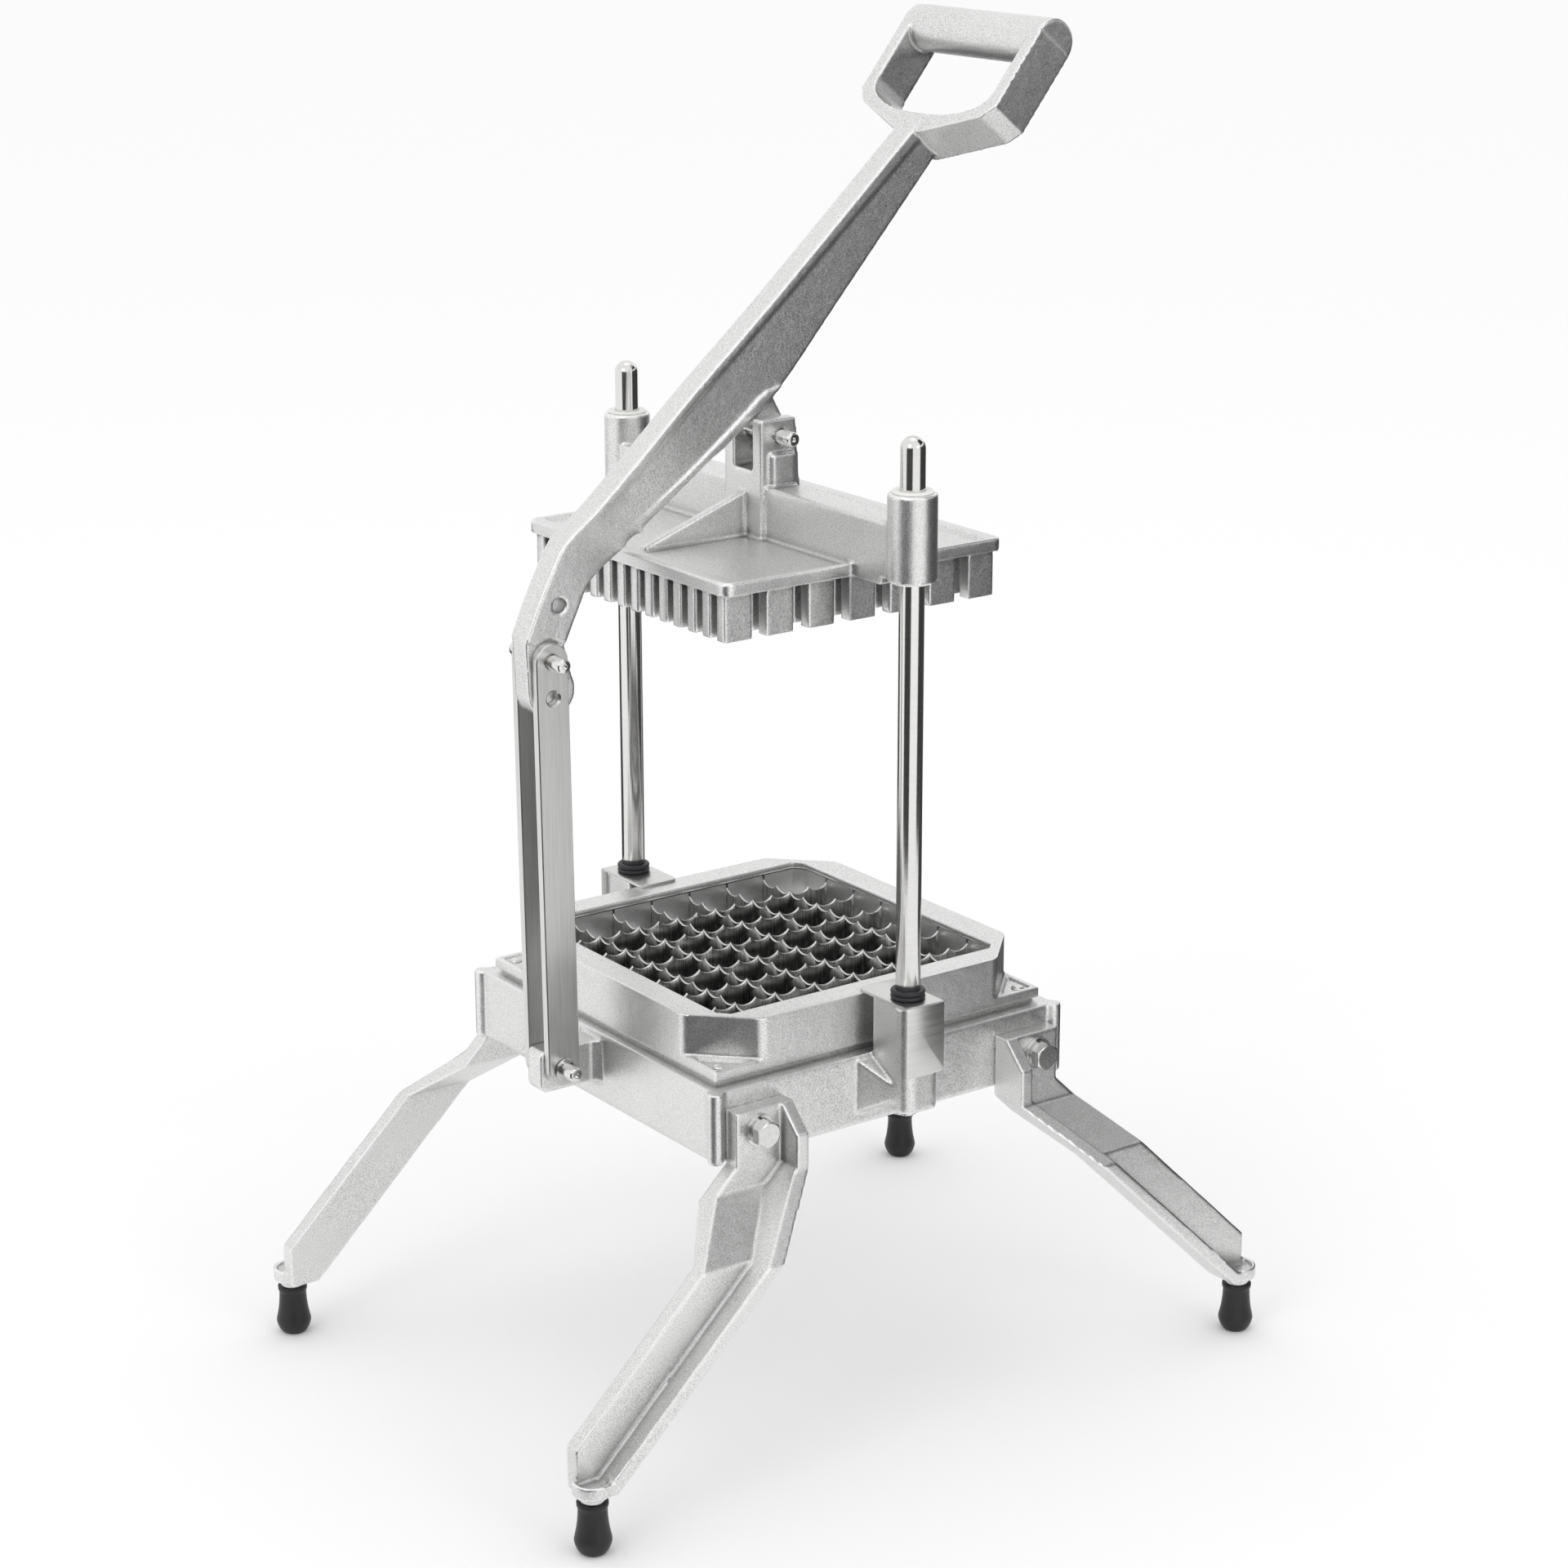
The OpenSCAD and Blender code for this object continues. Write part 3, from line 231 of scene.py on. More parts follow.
def turned(name, profile, sides=64, bored=False):
    """A piece turned about z from a profile of (radius, height) steps. A bored one's profile runs up
    the outside and down the bore, back to its start."""
    bpy.ops.object.select_all(action="DESELECT")
    r, h = profile[0]
    bpy.ops.mesh.primitive_circle_add(vertices=sides, radius=r, fill_type="NOTHING" if bored else "NGON",
                                      location=(0, 0, h))
    piece = settle(named(name))
    edit(piece, "VERT")
    for (r0, h0), (r1, h1) in zip(profile, profile[1:] + ([profile[0]] if bored else [])):
        bpy.ops.mesh.extrude_region_move(TRANSFORM_OT_translate={"value": (0, 0, h1 - h0)})
        bpy.ops.transform.resize(value=(r1 / r0, r1 / r0, 1), center_override=(0, 0, h1))
    leave()
    return outward(piece)


def rod(name, radius, low, high, sides=48):
    """A plain rod along z, used to bore and to trim."""
    return turned(name, [(radius, low), (radius, high)], sides)


def in_mm(*steps):
    """Profile steps given in millimetres."""
    return [(r * MM, h * MM) for r, h in steps]


def arc(r, at, start, end, steps):
    """Profile steps along an arc about (radius, height) = at, in degrees."""
    angles = [math.radians(start + (end - start) * k / steps) for k in range(steps + 1)]
    return [(at[0] + r * math.cos(a), at[1] + r * math.sin(a)) for a in angles]


def mesh_of(name, *nodes):
    """One merged copy of the CAD nodes' meshes."""
    copies = []
    for n in nodes:
        copy = bpy.data.objects.new(name, frame["nodes"][n].data.copy())
        bpy.context.scene.collection.objects.link(copy)
        copy.data.materials.clear()
        copies.append(copy)
    piece = joined(name, copies)
    edit(piece)
    bpy.ops.mesh.remove_doubles(threshold=2e-6)
    bpy.ops.mesh.tris_convert_to_quads()
    leave()
    return piece


def poured(piece, grain, softening, triangles):
    """Fills a piece as one casting: its parts run together and every edge and corner goes round."""
    modify(piece, "REMESH", mode="VOXEL", voxel_size=grain, use_smooth_shade=True)
    modify(piece, "SMOOTH", factor=0.5, iterations=softening)
    count = 2 * len(piece.data.polygons)
    if count > triangles:
        modify(piece, "DECIMATE", decimate_type="COLLAPSE", ratio=triangles / count,
               use_collapse_triangulate=True)
    return smooth(piece, 50)


def dress(piece, body, slot, finish, *nodes):
    """Puts a piece under the body that carries it, hides the CAD nodes it takes the place of, and gives it its
    finish.
    """
    piece.data.materials.clear()
    piece.data.materials.append(finish)
    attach(piece, body)
    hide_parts(*nodes)


def refinish(finish, *nodes):
    """Gives CAD nodes that stay a finish, in their own material slots."""
    for n in nodes:
        node = frame["nodes"][n]
        if not node.material_slots:
            node.data.materials.append(finish)
        for s in node.material_slots:
            s.material = finish


# Finishes

class Finish:
    """A material under construction: a Principled shader and the nodes that feed it."""

    def __init__(self, name, metallic, roughness):
        self.material = bpy.data.materials.new(name)
        self.material.use_nodes = True
        self.tree = self.material.node_tree
        self.shader = self.tree.nodes["Principled BSDF"]
        self.shader.inputs["Metallic"].default_value = metallic
        self.shader.inputs["Roughness"].default_value = roughness
        self.shader.inputs["IOR"].default_value = 1.5
        self.place = self.tree.nodes.new("ShaderNodeTexCoord").outputs["Object"]
        self.normal = None

    def stretched(self, scale):
        """Object coordinates scaled along each axis."""
        m = self.tree.nodes.new("ShaderNodeMapping")
        m.inputs["Scale"].default_value = scale
        self.tree.links.new(self.place, m.inputs["Vector"])
        return m.outputs["Vector"]

    def noise(self, scale, detail=3, rough=0.5, place=None):
        """Cloudy noise, 0 to 1; the scale is in grains to the metre."""
        n = self.tree.nodes.new("ShaderNodeTexNoise")
        n.inputs["Scale"].default_value = scale
        n.inputs["Detail"].default_value = detail
        n.inputs["Roughness"].default_value = rough
        self.tree.links.new(place or self.place, n.inputs["Vector"])
        return n.outputs["Fac"]

    def cells(self, scale):
        """Distance from the middle of crystal-like cells."""
        v = self.tree.nodes.new("ShaderNodeTexVoronoi")
        v.inputs["Scale"].default_value = scale
        self.tree.links.new(self.place, v.inputs["Vector"])
        return v.outputs["Distance"]

    def hollows(self, reach):
        """1 on open ground, falling to 0 in the piece's own holes and inner corners."""
        a = self.tree.nodes.new("ShaderNodeAmbientOcclusion")
        a.samples, a.only_local = 6, True
        a.inputs["Distance"].default_value = reach
        return a.outputs["AO"]

    def ramp(self, value, stops):
        """Colours or greys along a value; stops are (place, grey or colour)."""
        r = self.tree.nodes.new("ShaderNodeValToRGB")
        self.tree.links.new(value, r.inputs["Fac"])
        while len(r.color_ramp.elements) < len(stops):
            r.color_ramp.elements.new(0.5)
        for e, (at, c) in zip(r.color_ramp.elements, stops):
            e.position = at
            e.color = (c, c, c, 1) if isinstance(c, (int, float)) else (*c, 1)
        return r.outputs["Color"]

    def shades(self, value, colour, *stops):
        """Shades of one colour along a value; stops are (place, factor)."""
        return self.ramp(value, [(at, shade(colour, factor)) for at, factor in stops])

    def mixed(self, factor, a, b):
        """Mixes two colours or outputs by a factor or an output."""
        m = self.tree.nodes.new("ShaderNodeMix")
        m.data_type = "RGBA"
        for socket, v in ((m.inputs[0], factor), (m.inputs[6], a), (m.inputs[7], b)):
            if isinstance(v, bpy.types.NodeSocket):
                self.tree.links.new(v, socket)
            else:
                socket.default_value = v if isinstance(v, (int, float)) else (*v, 1)
        return m.outputs[2]

    def colour(self, output):
        """Lets an output colour the surface."""
        self.tree.links.new(output, self.shader.inputs["Base Color"])

    def roughness(self, value, low, high):
        """Roughness between low and high, led by a value."""
        m = self.tree.nodes.new("ShaderNodeMapRange")
        self.tree.links.new(value, m.inputs["Value"])
        m.inputs["To Min"].default_value, m.inputs["To Max"].default_value = low, high
        self.tree.links.new(m.outputs["Result"], self.shader.inputs["Roughness"])

    def bump(self, height, depth, strength):
        """Lays one more relief over those before it; depth in metres."""
        b = self.tree.nodes.new("ShaderNodeBump")
        b.inputs["Distance"].default_value = depth
        b.inputs["Strength"].default_value = strength
        self.tree.links.new(height, b.inputs["Height"])
        if self.normal:
            self.tree.links.new(self.normal, b.inputs["Normal"])
        self.normal = b.outputs["Normal"]
        self.tree.links.new(self.normal, self.shader.inputs["Normal"])


def shade(colour, factor):
    """A lighter or darker shade of a colour."""
    return tuple(min(1, c * factor) for c in colour)


def cast_finish(name, looks):
    """Sand cast and tumbled aluminium: a fine sparkling grain over soft, cloudy skin, brighter along its
    edges, partly wear and partly painted highlight, and darker in its holes and inner corners with painted shade."""
    f = Finish(name, metallic=1, roughness=0.38)
    base = looks.cast_colour
    grain = f.noise(1 / looks.cast_grain, 2, 0.6)
    skin = f.noise(140, 4, 0.6)
    cloud = f.noise(14, 3, 0.5)
    edge_wear_and_highlight = f.tree.nodes.new("ShaderNodeNewGeometry").outputs["Pointiness"]
    speck = f.shades(grain, base, (0.3, 0.6), (0.5, 1), (0.66, 1.25))
    cast = f.mixed(f.ramp(cloud, [(0.35, 0.0), (0.7, 0.3)]), speck, shade(base, 1.18))
    # painted shade: ambient occlusion darkens the holes and inner corners towards a near black
    painted_shade_in_hollows = f.mixed(f.ramp(f.hollows(0.006), [(0.35, 0.95), (0.9, 0.0)]), cast, shade(base, 0.1))
    # convex edges lightened: partly wear, partly painted highlight
    f.colour(f.mixed(f.ramp(edge_wear_and_highlight, [(0.515, 0.0), (0.56, 0.7)]), painted_shade_in_hollows, shade(base, 1.3)))
    f.roughness(f.mixed(0.35, grain, skin), 0.24, 0.48)
    f.bump(skin, 0.0006, 0.4)
    f.bump(grain, looks.cast_relief, 0.5)
    return f.material


def rod_finish(name, looks, fineness):
    """Ground and polished stainless, with the finest rings of the grinding wheel across its axis."""
    f = Finish(name, metallic=1, roughness=0.14)
    rings = f.noise(1, 2, 0.5, f.stretched(fineness))
    f.colour(f.shades(rings, looks.rod_colour, (0.3, 0.93), (0.7, 1.05)))
    f.roughness(rings, 0.09, 0.2)
    f.bump(rings, 0.00004, 0.25)
    return f.material


def bar_finish(looks):
    """Flat stainless brushed along its length."""
    f = Finish("brushed_bar", metallic=1, roughness=0.3)
    lines = f.noise(1, 3, 0.6, f.stretched((2600, 2600, 24)))
    cloud = f.noise(30, 2)
    brushed = f.shades(lines, looks.bar_colour, (0.32, 0.86), (0.68, 1.12))
    f.colour(f.mixed(f.ramp(cloud, [(0.4, 0.0), (0.65, 0.25)]), brushed, shade(looks.bar_colour, 1.1)))
    f.roughness(lines, 0.24, 0.4)
    f.bump(lines, 0.00006, 0.35)
    return f.material


def sheet_finish(looks):
    """Cold rolled sheet, brushed across."""
    f = Finish("sheet_bracket", metallic=1, roughness=0.34)
    lines = f.noise(1, 3, 0.6, f.stretched((36, 2200, 900)))
    f.colour(f.shades(lines, looks.bar_colour, (0.3, 0.93), (0.7, 1.07)))
    f.roughness(lines, 0.24, 0.4)
    f.bump(lines, 0.00003, 0.25)
    return f.material


def blade_finish(looks, low, peak):
    """Ground blade steel: dark flanks with upright grinding lines, darkened towards the foot with painted shade,
    and a painted highlight on the upward faces where the scallops are ground to their edge."""
    f = Finish("ground_blade", metallic=1, roughness=0.26)
    steel = looks.blade_colour
    lines = f.noise(1, 3, 0.65, f.stretched((1500, 1500, 12)))
    height = f.tree.nodes.new("ShaderNodeSeparateXYZ")
    f.tree.links.new(f.place, height.inputs["Vector"])
    depth = f.tree.nodes.new("ShaderNodeMapRange")
    depth.inputs["From Min"].default_value, depth.inputs["From Max"].default_value = low, peak
    f.tree.links.new(height.outputs["Z"], depth.inputs["Value"])
    geometry = f.tree.nodes.new("ShaderNodeNewGeometry")
    highlight_facing = f.tree.nodes.new("ShaderNodeSeparateXYZ")
    f.tree.links.new(geometry.outputs["True Normal"], highlight_facing.inputs["Vector"])
    flank = f.shades(lines, steel, (0.3, 0.6), (0.7, 1.6))
    # painted shade: the flanks darken towards the foot of the blades, deep in the grid
    painted_depth_shade = f.mixed(f.ramp(depth.outputs["Result"], [(0.2, 0.7), (0.9, 0.0)]), flank, shade(steel, 0.3))
    # painted highlight: faces that look upward, the ground edges and the tops, are lightened
    f.colour(f.mixed(f.ramp(highlight_facing.outputs["Z"], [(0.12, 0.0), (0.3, 1.0)]), painted_depth_shade, shade(steel, 2.3)))
    f.roughness(lines, 0.2, 0.36)
    f.bump(lines, 0.00008, 0.35)
    return f.material


def zinc_finish(looks):
    """Zinc plating with its faint spangle."""
    f = Finish("zinc_plate", metallic=1, roughness=0.3)
    spangle = f.cells(420)
    fine = f.noise(1900, 2)
    plated = f.shades(spangle, looks.zinc_colour, (0.1, 0.94), (0.8, 1.05))
    f.colour(f.mixed(f.ramp(fine, [(0.35, 0.0), (0.65, 0.3)]), plated, shade(looks.zinc_colour, 0.8)))
    f.roughness(fine, 0.14, 0.34)
    f.bump(fine, 0.00005, 0.3)
    return f.material


def rubber_finish(name, colour, gloss):
    """Moulded black rubber: a satin skin with fine pores and a little dust in them."""
    f = Finish(name, metallic=0, roughness=gloss)
    f.shader.inputs["Specular IOR Level"].default_value = 0.4
    pores = f.noise(1600, 3, 0.6)
    cloud = f.noise(60, 3)
    black = f.shades(pores, colour, (0.35, 0.75), (0.7, 1.3))
    f.colour(f.mixed(f.ramp(cloud, [(0.4, 0.0), (0.75, 0.35)]), black, shade(colour, 1.8)))
    f.roughness(pores, gloss - 0.1, gloss + 0.14)
    f.bump(pores, 0.00012, 0.35)
    return f.material


def nylon_finish(looks):
    """White moulded nylon, a little translucent at its rims."""
    f = Finish("white_nylon", metallic=0, roughness=0.38)
    f.shader.inputs["Subsurface Weight"].default_value = 0.12
    f.shader.inputs["Subsurface Scale"].default_value = 0.002
    skin = f.noise(700, 3)
    f.colour(f.shades(skin, looks.nylon_colour, (0.3, 0.95), (0.7, 1.02)))
    f.roughness(skin, 0.32, 0.46)
    f.bump(skin, 0.00006, 0.25)
    return f.material


# Settings

def tint(name, description, default):
    """A colour setting."""
    return bpy.props.FloatVectorProperty(name=name, description=description, subtype="COLOR", size=3,
                                         min=0, max=1, default=default)


def length(name, description, default):
    """A length setting, in metres."""
    return bpy.props.FloatProperty(name=name, description=description, default=default, min=0,
                                   unit="LENGTH", precision=5)


def level(name, description, default):
    """A setting for a strength of light."""
    return bpy.props.FloatProperty(name=name, description=description, default=default, min=0)


class CutterLooks(bpy.types.PropertyGroup):
    cast_colour: tint("Castings", "Colour of the tumbled aluminium", (0.76, 0.76, 0.755))
    rod_colour: tint("Rods and pins", "Colour of the polished steel", (0.78, 0.775, 0.76))
    bar_colour: tint("Link bars", "Colour of the brushed steel", (0.7, 0.7, 0.69))
    blade_colour: tint("Blades", "Colour of the blades' flanks", (0.28, 0.28, 0.275))
    zinc_colour: tint("Fasteners", "Colour of the zinc plating", (0.74, 0.74, 0.73))
    foot_colour: tint("Feet", "Colour of the rubber feet", (0.013, 0.013, 0.014))
    bumper_colour: tint("Bumpers", "Colour of the bumper rings", SLOTS["bumper_rubber"])
    nylon_colour: tint("Bushings", "Colour of the bushings", SLOTS["white_nylon"])
    cast_grain: length("Cast grain", "Size of the sparkling grain", 0.6 * MM)
    cast_relief: length("Cast relief", "Depth of the grain", 0.16 * MM)


class CutterSizes(bpy.types.PropertyGroup):
    fine_pour: length("Fine casting", "Grain of the mesh of the lever, the legs and the frame", 0.8 * MM)
    coarse_pour: length("Coarse casting", "Grain of the mesh of the base and the push head", 1.0 * MM)
    pin_end: length("Pin ends", "Height of the rounded ends of the pins", 1.4 * MM)
    bar_edge: length("Bar edges", "Radius of the link bars' broken edges", 0.5 * MM)
    tray_corner: length("Tray corners", "Set-back of the blade frame's upright corners", 3 * MM)
    fade_reach: length("Recess fade", "Reach of the soft end of the lever's side recess", 13 * MM)
    bend_radius: length("Bracket bend", "Outer radius of the brackets' fold", 2.6 * MM)
    clip_mouth: length("Clip mouth", "Width of the retaining clips' open side", 5.0 * MM)
    spring_gap: length("Spring washer gap", "Width of the split in a spring washer", 1.2 * MM)


class CutterStage(bpy.types.PropertyGroup):
    floor_reach: length("Floor", "Half width of the floor", 30.0)
    floor_colour: tint("Floor colour", "Colour of floor and backdrop", (0.985, 0.985, 0.985))
    world_level: level("World level", "Strength of the light from all round", 0.98)
    lamp_level: level("Lamp level", "Share of the softboxes' full power", 1.0)


# Pieces

def corner_node(kind, x, y):
    """The CAD node of this kind at one corner of the frame."""
    return "%s_%s_%s" % (kind, "link" if x < 0 else "grip", "near" if y < 0 else "far")


class CUTTER_OT_base(bpy.types.Operator):
    """The cast base frame with its rod bosses and the link's lug"""
    bl_idname = "cutter.base"
    bl_label = "Base casting"

    def execute(self, context):
        scene = context.scene
        piece = mesh_of("base_casting", "base_frame")
        poured(piece, scene.cutter_sizes.coarse_pour, softening=4, triangles=150000)
        dress(piece, "base", "cast_aluminium", cast_finish("cast_base", scene.cutter_looks), "base_frame")
        return {"FINISHED"}


class CUTTER_OT_legs(bpy.types.Operator):
    """The four cast legs: one is poured, the others are its mirror images"""
    bl_idname = "cutter.legs"
    bl_label = "Legs"

    def execute(self, context):
        scene = context.scene
        finish = cast_finish("cast_leg", scene.cutter_looks)
        leg = mesh_of("leg_pattern", "leg_grip_far")
        poured(leg, scene.cutter_sizes.fine_pour, softening=4, triangles=40000)
        for x, y in CORNERS:
            node = corner_node("leg", x, y)
            piece = smooth(placed(leg, node + "_casting", flip=(x, y, 1)), 50)
            dress(piece, "base", "cast_aluminium", finish, node)
        spare(leg)
        return {"FINISHED"}


def hexagon(name, low, high, chamfered):
    """A hexagon along z whose corners are turned down at the ends that are chamfered."""
    corner = BOLT_CORNERS / 2
    body = turned(name, [(corner, low), (corner, high)], 6)
    rim, tip = corner * 1.05, BOLT_FLATS * 0.475
    drop = (corner - tip) * 0.7501
    profile = [(rim, low), (rim, high)]
    if "top" in chamfered:
        profile = profile[:-1] + [(rim, high - drop), (tip, high)]
    if "foot" in chamfered:
        profile = [(tip, low), (rim, low + drop)] + profile[1:]
    return cut(body, turned("trim", profile, 64), "INTERSECT")


def at_bolts(name, pattern, low_y):
    """Copies of a pattern made along z, set along y on the four leg bolts' axes from low_y out."""
    lo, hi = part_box("leg_bolts")
    x = hi.x - BOLT_CORNERS / 2
    z = (lo.z + hi.z) / 2
    return set_out(name, pattern, [(sx * x, sy * low_y, z) for sx, sy in CORNERS],
                   [(-sy * math.pi / 2, 0, 0) for _, sy in CORNERS])


class CUTTER_OT_leg_bolts(bpy.types.Operator):
    """Hexagon bolts through the legs, with flat and spring washers and nuts"""
    bl_idname = "cutter.leg_bolts"
    bl_label = "Leg bolts"

    def execute(self, context):
        looks, sizes = context.scene.cutter_looks, context.scene.cutter_sizes
        zinc = zinc_finish(looks)
        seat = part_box("leg_bolts")[1].y - BOLT_HEAD - WASHERS
        nut_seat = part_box("leg_nuts")[1].y - NUT_HEIGHT
        for name, pattern, at in (("leg_bolts", self.bolt(), seat),
                                  ("leg_flat_washers", self.flat_washer(), seat),
                                  ("leg_spring_washers", self.spring_washer(sizes.spring_gap / 2), seat),
                                  ("leg_nuts", self.nut(), nut_seat)):
            piece = at_bolts(name + "_zinc", pattern, at)
            if name != "leg_bolts":  # their heads stay faceted
                smooth(piece)
            dress(piece, "base", "zinc_steel", zinc, name)
        return {"FINISHED"}

    def bolt(self):
        """Head on the washers, shank through leg and wall, rolled thread at its tip."""
        tip, pitch = -32.6 * MM, 1.25 * MM
        top = hexagon("bolt_head", WASHERS, WASHERS + BOLT_HEAD, ("top",))
        ridges = []
        for k in range(9):
            crest = tip + 0.7 * MM + k * pitch
            ridges += [(BOLT_SHANK, crest), (BOLT_SHANK * 0.88, crest + 0.6 * MM)]
        stem = turned("bolt_stem", [(BOLT_SHANK * 0.8, tip)] + ridges
                      + [(BOLT_SHANK, tip + 12.4 * MM), (BOLT_SHANK, 4 * MM)], 40)
        face = turned("bolt_face", [(6.1 * MM, WASHERS), (6.1 * MM, 4 * MM)], 48)
        return joined("leg_bolt", [top, stem, face])

    def flat_washer(self):
        """A ring with its edges broken."""
        return turned("flat_washer", in_mm((8.3, 0), (8.5, 0.25), (8.5, 1.35), (8.3, 1.6), (4.2, 1.6),
                                           (4.05, 1.4), (4.05, 0)), 64, bored=True)

    def spring_washer(self, gap):
        """A ring with a slanting split."""
        ring = turned("spring_washer", in_mm((6.6, 1.65), (6.8, 1.85), (6.8, 3.35), (6.6, 3.6),
                                             (4.2, 3.6), (4.08, 3.4), (4.08, 1.65)), 48, bored=True)
        slit = block("slit", (-gap, 3 * MM, 0), (gap, 9 * MM, 5 * MM))
        slit.rotation_euler = (0, math.radians(28), 0)
        slit.location = (-1.4 * MM, 0, 0)
        return cut(ring, slit)

    def nut(self):
        """A hexagon nut, bored."""
        return cut(hexagon("nut", 0, NUT_HEIGHT, ("top", "foot")),
                   rod("nut_bore", 4.06 * MM, -MM, NUT_HEIGHT + MM, 40))


class CUTTER_OT_feet(bpy.types.Operator):
    """Flared rubber feet on steel studs"""
    bl_idname = "cutter.feet"
    bl_label = "Feet"

    def execute(self, context):
        looks = context.scene.cutter_looks
        rubber = rubber_finish("foot_rubber", looks.foot_colour, 0.4)
        skirt = in_mm((5.2, 0), (6.2, 0.25), (6.9, 0.9), (7.9, 2.2), (8.5, 3.4), (9.1, 5), (9.45, 6.6),
                      (9.45, 7.6), (9.1, 9.4), (8.6, 11.6), (8.15, 14), (7.8, 16.8), (7.5, 20), (7.4, 23))
        rim = in_mm((7.42, 24.4), (7.65, 25), (7.95, 25.6), (8, 26.4), (8, 27.5), (7.7, 27.95), (7.2, 28))
        bore = in_mm((4.2, 28), (4.08, 27.6), (4.08, 14.1), (1, 13.9))
        foot = turned("foot_pattern", skirt + rim + bore, 64)
        for x, y in CORNERS:
            node = corner_node("foot", x, y)
            lo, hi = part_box(node)
            piece = placed(foot, node + "_rubber", at=((lo.x + hi.x) / 2, (lo.y + hi.y) / 2, 0))
            dress(smooth(piece, 60), "base", "foot_rubber", rubber, node)
        spare(foot)
        lo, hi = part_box("foot_studs")
        shank = in_mm((3.4, 14.05), (4, 14.7), (4, 28))
        collar = in_mm((6.2, 28), (6.5, 28.3), (6.5, 31.2), (6.2, 31.5), (4, 31.5))
        stud = turned("stud", shank + collar + [(4 * MM, hi.z - 0.6 * MM), (3.5 * MM, hi.z)], 48)
        x, y = hi.x - 6.5 * MM, hi.y - 6.5 * MM
        studs = set_out("foot_studs_zinc", stud, [(sx * x, sy * y, 0) for sx, sy in CORNERS])
        dress(smooth(studs), "base", "zinc_steel", zinc_finish(looks), "foot_studs")
        return {"FINISHED"}


class CUTTER_OT_rods(bpy.types.Operator):
    """Polished guide rods with domed tops, the screws under them and the bumper rings at their feet"""
    bl_idname = "cutter.rods"
    bl_label = "Guide rods"

    def execute(self, context):
        looks = context.scene.cutter_looks
        self.rods(rod_finish("polished_rod", looks, (40, 40, 5200)))
        self.screws(zinc_finish(looks))
        self.bumpers(rubber_finish("bumper_rubber", looks.bumper_colour, 0.42))
        return {"FINISHED"}

    def rods(self, polish):
        """Rods with a domed top and a tapped hole in their foot."""
        tapped, broken = 3.1 * MM, 0.3 * MM
        for side, _ in SIDES:
            node = "guide_rod_" + side
            lo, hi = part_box(node)
            r, y = (hi.x - lo.x) / 2, (lo.y + hi.y) / 2
            flat = 0.1 * MM
            dome = arc(r - flat, (flat, hi.z - r * 0.985), 0, 82, 9)
            pattern = turned("rod", [(tapped, lo.z + 10 * MM), (tapped, lo.z), (r - broken, lo.z),
                                     (r, lo.z + broken)] + dome, 96)
            piece = placed(pattern, node + "_steel", at=(0, y, 0))
            spare(pattern)
            dress(smooth(piece, 60), "base", "ground_steel", polish, node)

    def screws(self, zinc):
        """Socket screws that hold the rods from below."""
        lo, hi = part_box("rod_screws")
        head, shank, z = 5 * MM, 3 * MM, lo.z
        screw = turned("rod_screw", [(head - 0.5 * MM, z), (head, z + 0.5 * MM), (head, z + 5 * MM),
                                     (shank, z + 5 * MM), (shank, hi.z - 0.7 * MM), (2.4 * MM, hi.z)], 48)
        cut(screw, turned("socket", [(2.9 * MM, z - MM), (2.9 * MM, z + 2.6 * MM)], 6))
        y = hi.y - head
        screws = set_out("rod_screws_zinc", screw, [(0, s * y, 0) for _, s in SIDES])
        dress(smooth(screws), "base", "zinc_steel", zinc, "rod_screws")

    def bumpers(self, rubber):
        """Rings of two beads each."""
        lo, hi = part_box("rod_bumpers")
        r, y = hi.x, hi.y - hi.x
        half, bore = (hi.z - lo.z) / 2, 6.5 * MM
        beads = []
        for k in range(2):
            beads += arc(half / 2, (r - half / 2, lo.z + half * (k + 0.5)), -80, 80, 8)
        ring = turned("bumper_ring", [(bore, lo.z), (r - half * 0.7, lo.z)] + beads
                      + [(r - half * 0.7, hi.z), (bore, hi.z)], 64, bored=True)
        rings = set_out("rod_bumpers_rubber", ring, [(0, s * y, 0) for _, s in SIDES])
        dress(smooth(rings, 60), "base", "bumper_rubber", rubber, "rod_bumpers")


